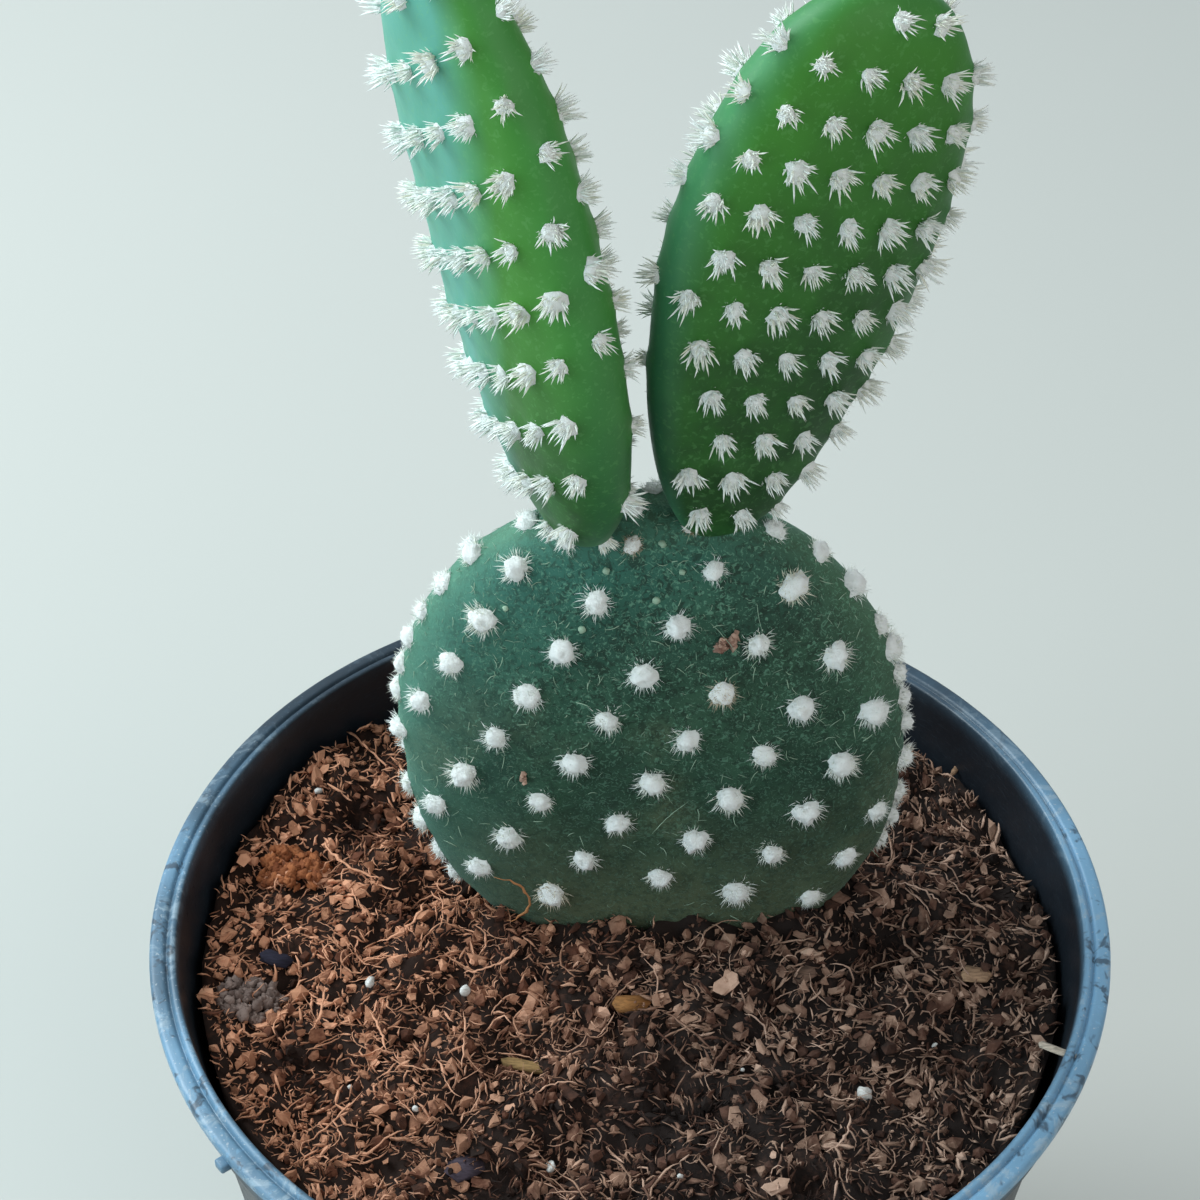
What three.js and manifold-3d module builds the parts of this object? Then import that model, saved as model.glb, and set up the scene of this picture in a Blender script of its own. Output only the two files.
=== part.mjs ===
// A potted bunny ears cactus (Opuntia microdasys): an upright oval pad standing in a round nursery pot of
// coarse fibrous soil, with two younger pads growing from its top like a pair of ears. Every pad is dotted
// with areoles, and each areole carries a tuft of short bristles.
// Units are millimetres and +Z is up. The origin is the centre of the pot's foot, on the surface that it
// stands on. The broad face of the oldest pad looks along -Y.
import * as THREE from "three";
import { mergeVertices } from "three/addons/utils/BufferGeometryUtils.js";
import Module from "manifold-3d";

const wasm = await Module();
wasm.setup();

// Pot
const POT_RIM_RADIUS = 52.5;
const POT_HEIGHT = 90;
const FOOT_RADIUS = 38;
const WALL = 1.1;
const RIM_DEPTH = 7;
const RIM_WIDTH = 2.9;
const RIM_BEAD = 0.35;
const SHOULDER_RADIUS = 49.2;
const FOOT_RING = 3;
const FOOT_RECESS = 1.4;
const FLOOR_TOP = 2.6;
const POT_SIDES = 48;
const DRAIN_HOLES = 8;
const DRAIN_RADIUS = 3.4;
const DRAIN_CIRCLE = 27;
const DRAIN_SIDES = 12;

// Soil
const CLEARANCE = 0.3;
const SOIL_LEVEL = 83.4;
const SOIL_SIDES = 40;
const SOIL_RINGS = 11;
const SOIL_CORNER = 4;
const LUMPS = [
  { height: 0.75, length: 31, heading: 20, phase: 10 },
  { height: 0.6, length: 19, heading: 75, phase: 140 },
  { height: 0.5, length: 13, heading: 130, phase: 40 },
  { height: 0.4, length: 9, heading: 165, phase: 250 },
  { height: 0.35, length: 7.5, heading: 50, phase: 95 },
];
const DIP = 2.6;
const DIP_HEADING = 30;
const MOUND = 1.8;
const MOUND_PLACE = [12, 1];
const MOUND_REACH = 22;
const CRUMBS = 62;
const CRUMB_RADIUS = { least: 1.1, most: 2.6 };
const CHIPS = 16;
const CHIP_LENGTH = { least: 4, most: 8 };
const CHIP_WIDTH = { least: 1, most: 2.4 };
const CHIP_THICKNESS = 1.1;
const LOOSE_MARGIN = 5;
const LOOSE_ROOM = 5.5;
const SOIL_SEED = 41;

// Pads: foot is the lowest point of the axis, and the angles are in degrees
const BASE_PAD = {
  foot: [6, 8.2, 73.5], length: 65, lean: -6, back: 5, turn: 0, twist: 0, bend: 0,
  halfWidth: 27, halfThickness: 8, widest: 0.515, lowerCurve: 2, upperCurve: 2.2,
  spacing: 7.6, across: [8, -3.4], along: [4.2, 5.4], start: [0, 34],
  tuftRadius: 2.6, tuftValley: 1.5, tuftHeight: 2.2, tuftRays: 5, rings: 12, seed: 7,
};
const RIGHT_EAR = {
  foot: [8.3, 11.8, 134.3], length: 64.2, lean: 14.6, back: 5, turn: 18, twist: 0, bend: 8.9,
  halfWidth: 13.85, halfThickness: 5.4, widest: 0.6, lowerCurve: 1.75, upperCurve: 2.24,
  spacing: 5, across: [4.5, -0.1], along: [1.9, 5.1], start: [0.8, 41.5],
  tuftRadius: 1.9, tuftValley: 1, tuftHeight: 2.3, tuftRays: 4, rings: 12, seed: 8,
};
const LEFT_EAR = {
  foot: [-5.1, 12.1, 134.8], length: 67.3, lean: -11.7, back: 5, turn: -57, twist: 14, bend: -6.7,
  halfWidth: 13.1, halfThickness: 5.7, widest: 0.417, lowerCurve: 2.1, upperCurve: 2.25,
  spacing: 5.2, across: [4.2, 1.7], along: [0.7, 7], start: [2.8, 17.5],
  tuftRadius: 1.9, tuftValley: 1, tuftHeight: 2.3, tuftRays: 4, rings: 13, seed: 9,
};
const SECTION_CURVE = 2.3;
const THICKNESS_CURVE = 0.35;
const PAD_SIDES = 20;
const TUFT_SINK = 0.7;
const TUFT_ROOM = 1.2;
const SOIL_ROOM = 0.9;
const LOWEST_TUFT = 0.03;
const HIGHEST_ROW = 0.98;
const TOP_TUFT = 0.998;
const ROW_REACH = 24;
const SEARCH_STEPS = 44;
const CLOSEST_SHARE = 0.84;

// Colours
const POT_BLACK = 0x14171c;
const SOIL_BROWN = 0x4b3226;
const OLD_GREEN = 0x35594a;
const YOUNG_GREEN = 0x2f7a2c;

const degrees = THREE.MathUtils.degToRad;

// A small seeded random source, so that every run gives the same crumbs and tufts.
function seeded(seed) {
  let state = seed;
  return () => {
    state = (state * 1664525 + 1013904223) >>> 0;
    return state / 4294967296;
  };
}

const between = (range, random) => range.least + (range.most - range.least) * random();

function solid(geometry) {
  const bare = new THREE.BufferGeometry();
  const whole = geometry.index ? geometry.toNonIndexed() : geometry;
  bare.setAttribute("position", whole.getAttribute("position"));
  const merged = mergeVertices(bare, 1e-3);
  return new wasm.Manifold(
    new wasm.Mesh({
      numProp: 3,
      vertProperties: merged.attributes.position.array,
      triVerts: new Uint32Array(merged.index.array),
    }),
  );
}

function geometryOf(manifold) {
  const mesh = manifold.getMesh();
  const geometry = new THREE.BufferGeometry();
  geometry.setAttribute("position", new THREE.BufferAttribute(mesh.vertProperties, 3));
  geometry.setIndex(new THREE.BufferAttribute(mesh.triVerts, 1));
  return geometry;
}

function largestBody(manifold) {
  const bodies = manifold.decompose();
  return bodies.reduce((best, body) => (body.volume() > best.volume() ? body : best));
}

// Pot: one turned shell with a flat flanged rim, a stacking shoulder and a recessed foot with drain holes
function wallRadius(z) {
  const share = z / (POT_HEIGHT - RIM_DEPTH);
  return FOOT_RADIUS + (SHOULDER_RADIUS - FOOT_RADIUS) * share;
}

function potProfile() {
  const rimFoot = POT_HEIGHT - RIM_DEPTH;
  const innerRim = POT_RIM_RADIUS - RIM_WIDTH;
  return [
    [0, FOOT_RECESS],
    [FOOT_RADIUS - FOOT_RING, FOOT_RECESS],
    [FOOT_RADIUS - FOOT_RING + 0.6, 0],
    [FOOT_RADIUS - 0.6, 0],
    [FOOT_RADIUS, 0.8],
    [wallRadius(rimFoot), rimFoot],
    [POT_RIM_RADIUS - 1.5, rimFoot + 0.6],
    [POT_RIM_RADIUS - 1.3, POT_HEIGHT - 2.2],
    [POT_RIM_RADIUS, POT_HEIGHT - 1.7],
    [POT_RIM_RADIUS, POT_HEIGHT - 0.7],
    [POT_RIM_RADIUS - 0.4, POT_HEIGHT - 0.25],
    [innerRim + 0.9, POT_HEIGHT - 0.35],
    [innerRim + 0.55, POT_HEIGHT],
    [innerRim + 0.15, POT_HEIGHT],
    [innerRim, POT_HEIGHT - 0.5],
    [innerRim - RIM_BEAD, POT_HEIGHT - 1.5],
    [wallRadius(rimFoot) - WALL, rimFoot - 1],
    [wallRadius(FLOOR_TOP) - WALL - 0.8, FLOOR_TOP + 0.8],
    [wallRadius(FLOOR_TOP) - WALL - 2, FLOOR_TOP],
    [0, FLOOR_TOP],
  ].map(([radius, height]) => new THREE.Vector2(radius, height));
}

function potSolid() {
  const shell = new THREE.LatheGeometry(potProfile(), POT_SIDES);
  shell.rotateX(Math.PI / 2);
  let pot = solid(shell);
  for (let i = 0; i < DRAIN_HOLES; i += 1) {
    const angle = (i / DRAIN_HOLES) * 2 * Math.PI;
    const drill = new THREE.CylinderGeometry(DRAIN_RADIUS, DRAIN_RADIUS, 4 * FLOOR_TOP, DRAIN_SIDES);
    drill.rotateX(Math.PI / 2);
    drill.translate(DRAIN_CIRCLE * Math.cos(angle), DRAIN_CIRCLE * Math.sin(angle), 0);
    pot = pot.subtract(solid(drill));
  }
  return pot;
}

// Pads: an oval outline and a lens-like section that both close at the foot and at the tip
function profile(pad, t, extra) {
  const below = t < pad.widest;
  const reach = below ? pad.widest : 1 - pad.widest;
  const curve = (below ? pad.lowerCurve : pad.upperCurve) + extra;
  const share = Math.min(Math.abs(t - pad.widest) / reach, 1);
  return Math.pow(1 - Math.pow(share, curve), 1 / curve);
}

function direction(pad, t) {
  const lean = degrees(pad.lean + pad.bend * (t - 0.5));
  const back = degrees(pad.back);
  return new THREE.Vector3(
    Math.sin(lean),
    Math.cos(lean) * Math.sin(back),
    Math.cos(lean) * Math.cos(back),
  );
}

function padFrame(pad, t) {
  const axis = direction(pad, t);
  const centre = new THREE.Vector3(...pad.foot).addScaledVector(direction(pad, t / 2), pad.length * t);
  const flat = new THREE.Vector3(0, -1, 0);
  flat.addScaledVector(axis, -flat.dot(axis)).normalize();
  const across = new THREE.Vector3().crossVectors(axis, flat);
  const turn = degrees(pad.turn + pad.twist * (t - 0.5));
  const face = flat.clone().multiplyScalar(Math.cos(turn)).addScaledVector(across, Math.sin(turn));
  const side = new THREE.Vector3().crossVectors(axis, face);
  return { centre, face, side };
}

const signedPower = (value, power) => Math.sign(value) * Math.pow(Math.abs(value), power);

// angle is 0 at the middle of the front face and 90 degrees at the edge on the pad's own right
function padPoint(pad, t, angle, grow = 0) {
  const { centre, face, side } = padFrame(pad, t);
  const width = (pad.halfWidth + grow) * profile(pad, t, 0);
  const thickness = (pad.halfThickness + grow) * profile(pad, t, THICKNESS_CURVE);
  return centre
    .addScaledVector(side, width * signedPower(Math.sin(angle), 2 / SECTION_CURVE))
    .addScaledVector(face, thickness * signedPower(Math.cos(angle), 2 / SECTION_CURVE));
}

function padNormal(pad, t, angle) {
  const step = 0.01;
  const higher = padPoint(pad, Math.min(t + step, 1), angle);
  const up = higher.sub(padPoint(pad, Math.max(t - step, 0), angle));
  const round = padPoint(pad, t, angle + step).sub(padPoint(pad, t, angle - step));
  return round.cross(up).normalize();
}

function grown(pad, grow) {
  const share = grow / pad.length;
  const foot = new THREE.Vector3(...pad.foot).addScaledVector(direction(pad, 0), -grow);
  return { ...pad, foot: foot.toArray(), length: pad.length * (1 + 2 * share) };
}

// The skin of a pad is a ball whose poles are drawn out to the pad's foot and tip.
function padSolid(pad, grow = 0) {
  const shape = grown(pad, grow);
  const skin = new THREE.SphereGeometry(1, PAD_SIDES, pad.rings);
  const corners = skin.getAttribute("position");
  for (let i = 0; i < corners.count; i += 1) {
    const angle = Math.atan2(corners.getX(i), corners.getZ(i));
    const point = padPoint(shape, (1 + corners.getY(i)) / 2, angle, grow);
    corners.setXYZ(i, point.x, point.y, point.z);
  }
  return solid(skin);
}

// Points spread over a pad, to measure distances from
function padSamples(pad) {
  const samples = [];
  for (let i = 1; i < SEARCH_STEPS; i += 1) {
    for (let j = 0; j < SEARCH_STEPS; j += 1) {
      const t = i / SEARCH_STEPS;
      const angle = (j / SEARCH_STEPS) * 2 * Math.PI;
      samples.push({ t, angle, point: padPoint(pad, t, angle) });
    }
  }
  return samples;
}

// The angle that lies a given distance round the pad from the middle of its face, or null past the back
function angleAt(pad, t, distance) {
  const steps = 48;
  let gone = 0;
  let before = padPoint(pad, t, 0);
  const way = Math.sign(distance) || 1;
  for (let i = 1; i <= steps; i += 1) {
    const here = padPoint(pad, t, (way * i * Math.PI) / steps);
    const stretch = here.distanceTo(before);
    if (gone + stretch >= Math.abs(distance)) {
      return (way * (i - 1 + (Math.abs(distance) - gone) / stretch) * Math.PI) / steps;
    }
    gone += stretch;
    before = here;
  }
  return null;
}

// Areoles stand in slanting rows, as on the living plant. The rows wrap round the pad from the middle of
// its face, and what they leave bare at the tip and at the seam behind is filled at the same spacing.
function areoles(pad) {
  const found = [];
  const near = (point, distance) => found.some((other) => other.point.distanceTo(point) < distance);
  const add = (t, angle, distance) => {
    const point = padPoint(pad, t, angle);
    if (!near(point, distance)) found.push({ t, angle, point, normal: padNormal(pad, t, angle) });
  };
  for (let i = -ROW_REACH; i <= ROW_REACH; i += 1) {
    for (let j = -ROW_REACH; j <= ROW_REACH; j += 1) {
      const round = pad.start[0] + i * pad.across[0] + j * pad.along[0];
      const height = pad.start[1] + i * pad.across[1] + j * pad.along[1];
      const t = height / pad.length;
      if (t < LOWEST_TUFT || t > HIGHEST_ROW) continue;
      const angle = angleAt(pad, t, round);
      if (angle !== null) add(t, angle, pad.spacing * CLOSEST_SHARE);
    }
  }
  add(TOP_TUFT, 0, pad.spacing * CLOSEST_SHARE);
  padSamples(pad).forEach(({ t, angle }) => add(t, angle, pad.spacing));
  return found;
}

// A tuft is a pointed burr whose rays are bundles of bristles, with its root sunk into the skin.
function tuftSolid(pad, areole, random) {
  const share = 0.85 + 0.3 * random();
  const height = pad.tuftHeight * share + TUFT_SINK;
  const burr = new THREE.ConeGeometry(pad.tuftRadius * share, height, pad.tuftRays * 2);
  const corners = burr.getAttribute("position");
  const valley = pad.tuftValley / pad.tuftRadius;
  for (let i = 0; i < corners.count; i += 1) {
    const turn = Math.atan2(corners.getX(i), corners.getZ(i)) / (Math.PI / pad.tuftRays);
    const inValley = Math.abs(Math.round(turn)) % 2 === 1;
    if (corners.getY(i) < 0 && inValley) {
      corners.setX(i, corners.getX(i) * valley);
      corners.setZ(i, corners.getZ(i) * valley);
    }
  }
  burr.rotateX(Math.PI / 2);
  burr.translate(0, 0, height / 2 - TUFT_SINK);
  burr.rotateZ(random() * Math.PI * 2);
  const facing = new THREE.Quaternion().setFromUnitVectors(new THREE.Vector3(0, 0, 1), areole.normal);
  burr.applyQuaternion(facing);
  burr.translate(...areole.point.toArray());
  return solid(burr);
}

// Areoles next to another pad or under the soil bear no tuft.
function bareSkin(pad, areole, neighbours) {
  const tip = areole.point.clone().addScaledVector(areole.normal, pad.tuftHeight * 0.6);
  if (tip.z - pad.tuftRadius < soilHeight(tip.x, tip.y) + SOIL_ROOM) return true;
  const room = pad.tuftRadius + TUFT_ROOM;
  return neighbours.some((samples) => samples.some(({ point }) => point.distanceTo(tip) < room));
}

function tuftedPad(pad, body, neighbours) {
  const random = seeded(pad.seed);
  let made = body;
  for (const areole of areoles(pad)) {
    const burr = tuftSolid(pad, areole, random);
    if (!bareSkin(pad, areole, neighbours)) made = made.add(burr);
  }
  return largestBody(made);
}

// Soil: a bumpy top that is heaped against the pad and dips towards the back right
function soilHeight(x, y) {
  const distance = Math.hypot(x - MOUND_PLACE[0], y - MOUND_PLACE[1]);
  const heap = MOUND * Math.exp(-((distance / MOUND_REACH) ** 2));
  const towardsDip = x * Math.cos(degrees(DIP_HEADING)) + y * Math.sin(degrees(DIP_HEADING));
  const dip = DIP * Math.max(0, towardsDip / POT_RIM_RADIUS) ** 2;
  const waves = LUMPS.reduce((sum, { height, length, heading, phase }) => {
    const along = x * Math.cos(degrees(heading)) + y * Math.sin(degrees(heading));
    return sum + height * Math.sin((along / length) * 2 * Math.PI + degrees(phase));
  }, 0);
  return SOIL_LEVEL + heap - dip + waves;
}

const soilEdge = (z) => wallRadius(z) - WALL - CLEARANCE;

function soilBody() {
  const bottom = FLOOR_TOP + CLEARANCE;
  const edge = soilEdge(SOIL_LEVEL - SOIL_CORNER);
  const corner = bottom + SOIL_CORNER;
  const outline = [];
  for (let i = 0; i <= SOIL_RINGS; i += 1) {
    outline.push(new THREE.Vector2((edge * i) / SOIL_RINGS, SOIL_LEVEL));
  }
  outline.push(new THREE.Vector2(soilEdge(corner) - SOIL_CORNER / 5, corner));
  outline.push(new THREE.Vector2(soilEdge(bottom) - SOIL_CORNER / 2, bottom));
  outline.push(new THREE.Vector2(0, bottom));
  const body = new THREE.LatheGeometry(outline.reverse(), SOIL_SIDES);
  body.rotateX(Math.PI / 2);
  const corners = body.getAttribute("position");
  for (let i = 0; i < corners.count; i += 1) {
    if (corners.getZ(i) > SOIL_LEVEL - 0.01) corners.setZ(i, soilHeight(corners.getX(i), corners.getY(i)));
  }
  return solid(body);
}

// Loose crumbs and flat chips lie half sunk in the soil's surface, clear of the pad and its tufts.
function placeOnSoil(shape, random, padSkin) {
  let spot = null;
  while (spot === null) {
    const distance = Math.sqrt(random()) * (soilEdge(SOIL_LEVEL) - LOOSE_MARGIN);
    const heading = random() * 2 * Math.PI;
    const x = distance * Math.cos(heading);
    const y = distance * Math.sin(heading);
    const tried = new THREE.Vector3(x, y, soilHeight(x, y));
    if (padSkin.every(({ point }) => point.distanceTo(tried) > LOOSE_ROOM)) spot = tried;
  }
  shape.rotateZ(random() * Math.PI * 2);
  shape.translate(spot.x, spot.y, spot.z);
  return solid(shape);
}

function crumb(random, padSkin) {
  const shape = new THREE.OctahedronGeometry(between(CRUMB_RADIUS, random), 0);
  shape.rotateX(random() * Math.PI);
  shape.rotateY(random() * Math.PI);
  shape.scale(1.3, 1, 0.8);
  return placeOnSoil(shape, random, padSkin);
}

function chip(random, padSkin) {
  const length = between(CHIP_LENGTH, random);
  const width = between(CHIP_WIDTH, random);
  const shape = new THREE.BoxGeometry(length, width, CHIP_THICKNESS);
  shape.rotateY((random() - 0.5) * 0.7);
  shape.translate(0, 0, CHIP_THICKNESS / 5);
  return placeOnSoil(shape, random, padSkin);
}

function soilSolid(padSkin) {
  const random = seeded(SOIL_SEED);
  let soil = soilBody();
  for (let i = 0; i < CRUMBS; i += 1) soil = soil.add(crumb(random, padSkin));
  for (let i = 0; i < CHIPS; i += 1) soil = soil.add(chip(random, padSkin));
  return largestBody(soil.subtract(padSolid(BASE_PAD, CLEARANCE)));
}

// A piece's geometry is measured from its own place, where its mesh then stands.
function piece(name, manifold, colour, roughness, place = [0, 0, 0]) {
  const geometry = geometryOf(manifold);
  geometry.translate(...place.map((value) => -value));
  const material = new THREE.MeshStandardMaterial({ color: colour, roughness, metalness: 0 });
  const mesh = new THREE.Mesh(geometry, material);
  mesh.name = name;
  mesh.position.set(...place);
  return mesh;
}

const samples = { base: padSamples(BASE_PAD), right: padSamples(RIGHT_EAR), left: padSamples(LEFT_EAR) };
const seat = padSolid(BASE_PAD, CLEARANCE);
const basePad = tuftedPad(BASE_PAD, padSolid(BASE_PAD), [samples.right, samples.left]);
const rightEar = tuftedPad(RIGHT_EAR, padSolid(RIGHT_EAR).subtract(seat), [samples.base, samples.left]);
const leftEar = tuftedPad(LEFT_EAR, padSolid(LEFT_EAR).subtract(seat), [samples.base, samples.right]);

const filledPot = new THREE.Group();
filledPot.add(piece("pot", potSolid(), POT_BLACK, 0.45));
filledPot.add(piece("soil", soilSolid(samples.base), SOIL_BROWN, 0.95));

const plant = new THREE.Group();
plant.add(piece("base_pad", basePad, OLD_GREEN, 0.7, BASE_PAD.foot));
plant.add(piece("right_ear", rightEar, YOUNG_GREEN, 0.6, RIGHT_EAR.foot));
plant.add(piece("left_ear", leftEar, YOUNG_GREEN, 0.6, LEFT_EAR.foot));

const pottedCactus = new THREE.Group();
pottedCactus.add(filledPot, plant);

export default pottedCactus;
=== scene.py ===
"""Dresses a potted bunny ears cactus (Opuntia microdasys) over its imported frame.

Sizes in the constants below are in millimetres, as in the part's source, and everything that is built is in
metres. The plant is an upright oval pad in a filled nursery pot, with two young pads on its top edge.
"""
import math
import random

import bmesh
import bpy
import numpy as np
from mathutils import Matrix, Vector, noise


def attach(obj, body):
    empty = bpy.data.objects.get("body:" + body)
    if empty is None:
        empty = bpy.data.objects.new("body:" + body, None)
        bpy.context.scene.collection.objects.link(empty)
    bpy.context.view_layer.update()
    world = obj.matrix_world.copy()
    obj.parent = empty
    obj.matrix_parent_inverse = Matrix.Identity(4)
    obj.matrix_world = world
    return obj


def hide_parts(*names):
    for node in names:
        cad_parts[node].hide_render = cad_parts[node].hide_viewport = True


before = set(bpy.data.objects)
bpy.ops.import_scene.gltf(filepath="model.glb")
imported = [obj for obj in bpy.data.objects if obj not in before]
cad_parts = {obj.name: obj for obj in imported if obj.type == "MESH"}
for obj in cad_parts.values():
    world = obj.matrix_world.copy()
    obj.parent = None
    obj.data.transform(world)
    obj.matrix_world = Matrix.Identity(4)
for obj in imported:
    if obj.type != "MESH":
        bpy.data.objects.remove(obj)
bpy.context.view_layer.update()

bl_info = {
    "name": "Potted Bunny Ears Cactus",
    "version": (1, 0, 0),
    "blender": (4, 5, 0),
    "location": "3D View > Sidebar > Cactus",
    "description": "Dresses a potted bunny ears cactus: pot, soil, pads, tufts and a plain stage",
    "category": "Add Mesh",
}

MM = 0.001
BODY = "root"
TURN = 2 * math.pi

# Pot, in millimetres
RIM_RADIUS = 52.5
POT_HEIGHT = 90.0
FOOT_RADIUS = 38.0
WALL = 1.1
RIM_DEPTH = 7.0
RIM_WIDTH = 2.9
RIM_BEAD = 0.35
SHOULDER_RADIUS = 49.2
FOOT_RING = 3.0
FOOT_RECESS = 1.4
FLOOR_TOP = 2.6
DRAIN_HOLES = 8
DRAIN_RADIUS = 3.4
DRAIN_CIRCLE = 27.0
DRAIN_STEPS = 32
POT_STEPS = 192
CORNER_STEPS = 4
NUB_HEADING = -142.7
NUB_SIZE = (1.3, 1.5, 1.1)
NUB_DROP = 2.1
NUB_BEVEL = 0.18

# Soil, in millimetres
CLEARANCE = 0.3
SOIL_LEVEL = 83.4
SOIL_CORNER = 4.0
LUMPS = (
    {"height": 0.75, "length": 31, "heading": 20, "phase": 10},
    {"height": 0.6, "length": 19, "heading": 75, "phase": 140},
    {"height": 0.5, "length": 13, "heading": 130, "phase": 40},
    {"height": 0.4, "length": 9, "heading": 165, "phase": 250},
    {"height": 0.35, "length": 7.5, "heading": 50, "phase": 95},
)
DIP = 2.6
DIP_HEADING = 30
MOUND = 1.8
MOUND_PLACE = (12.0, 1.0)
MOUND_REACH = 22.0
BED_RINGS = 80
BED_STEPS = 240
SOIL_SEED = 41
CHIP_SEED = 1
HOLLOWS = (
    (43.0, 7.3), (30.2, 2.9), (36.0, -14.0), (-36.0, -15.0), (8.0, -22.0), (-24.0, 9.0), (31.0, 17.0),
    (-30.0, 22.0), (19.0, -33.0), (-14.0, -31.0),
)
HOLLOW_DEPTH = 2.2
HOLLOW_REACH = 3.6
COLLAR_PLACE = (5.0, 9.0)
COLLAR_SIZE = (19.0, 6.5)
COLLAR_REACH = 2.4
COLLAR_HEIGHT = 1.6
CLOD_HEIGHT = 1.5
CRUMB_HEIGHT = 0.4
ROUGH_DROP = 0.7
BANK_RADIUS = 43.0
BANK_SLOPE = 0.3
BED_TONE = 0.12

# Pads, in millimetres and degrees, as in the part's source. The painted blue-green sheen of the sky light
# reaches to the sines of the angles in bloom, at the foot and at the tip.
BASE_PAD = {
    "foot": (6.0, 8.2, 73.5), "length": 65.0, "lean": -6.0, "back": 5.0, "turn": 0.0, "twist": 0.0,
    "bend": 0.0, "half_width": 27.0, "half_thickness": 8.0, "widest": 0.515, "lower_curve": 2.0,
    "upper_curve": 2.2,
    "spacing": 7.6, "across": (8.0, -3.4), "along": (4.2, 5.4), "start": (0.0, 34.0),
    "tuft_radius": 2.6, "tuft_height": 2.2, "seed": 7, "bloom": (2.0, 2.0),
}
RIGHT_EAR = {
    "foot": (8.3, 11.8, 134.3), "length": 64.2, "lean": 14.6, "back": 5.0, "turn": 18.0, "twist": 0.0,
    "bend": 8.9, "half_width": 13.85, "half_thickness": 5.4, "widest": 0.6, "lower_curve": 1.75,
    "upper_curve": 2.24,
    "spacing": 5.0, "across": (4.5, -0.1), "along": (1.9, 5.1), "start": (0.8, 41.5),
    "tuft_radius": 1.9, "tuft_height": 2.3, "seed": 8, "bloom": (2.0, 2.0),
}
LEFT_EAR = {
    "foot": (-5.1, 12.1, 134.8), "length": 67.3, "lean": -11.7, "back": 5.0, "turn": -57.0, "twist": 14.0,
    "bend": -6.7, "half_width": 13.1, "half_thickness": 5.7, "widest": 0.417, "lower_curve": 2.1,
    "upper_curve": 2.25, "spacing": 5.2, "across": (4.2, 1.7), "along": (0.7, 7.0), "start": (2.8, 17.5),
    "tuft_radius": 1.9, "tuft_height": 2.3, "seed": 9, "bloom": (-0.4, 0.75),
}
SECTION_CURVE = 2.3
THICKNESS_CURVE = 0.35
TUFT_ROOM = 1.2
CROWDED_ROOM = 1.7
CROWDED_SHARE = 0.75
SOIL_ROOM = 0.9
LOWEST_TUFT = 0.03
HIGHEST_ROW = 0.98
TOP_TUFT = 0.998
ROW_REACH = 24
SEARCH_STEPS = 44
CLOSEST_SHARE = 0.84

# Lights, in metres, with their share of the key light's power, and the light of the surroundings
LIGHTS = (
    {"name": "key", "place": (-0.5, 0.25, 0.62), "size": (0.5, 0.5), "share": 1.0,
     "colour": (0.86, 0.96, 1.0)},
    {"name": "fill", "place": (0.45, -0.5, 0.55), "size": (0.7, 0.7), "share": 0.3,
     "colour": (1.0, 0.97, 0.92)},
    {"name": "side", "place": (-0.55, -0.3, 0.3), "size": (0.35, 0.6), "share": 0.35,
     "colour": (0.72, 0.92, 1.0)},
)
LIGHT_AIM = (0, 0, 0.12)
WORLD_COLOUR = (0.8, 0.88, 0.95, 1)
WORLD_STRENGTH = 0.4
FLOOR_REACH = 4

# Camera, in millimetres and degrees
CAMERA_PLACE = (-3.1, -222.0, 340.2)
CAMERA_PITCH = 42.5
CAMERA_ROLL = -0.22
CAMERA_LENS = 91.08
SENSOR_WIDTH = 36
CLIP_START = 10.0


def unit(vectors):
    return vectors / np.linalg.norm(vectors, axis=-1, keepdims=True)


def lerp(low, high, share):
    return low + (high - low) * share


class Seeded:
    """The same small random source as the part's source has, so that tufts get the same sizes."""

    FACTOR = 1664525
    STEP = 1013904223
    RANGE = 2**32

    def __init__(self, seed):
        self.state = seed

    def draw(self):
        self.state = (self.state * self.FACTOR + self.STEP) % self.RANGE
        return self.state / self.RANGE


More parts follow.
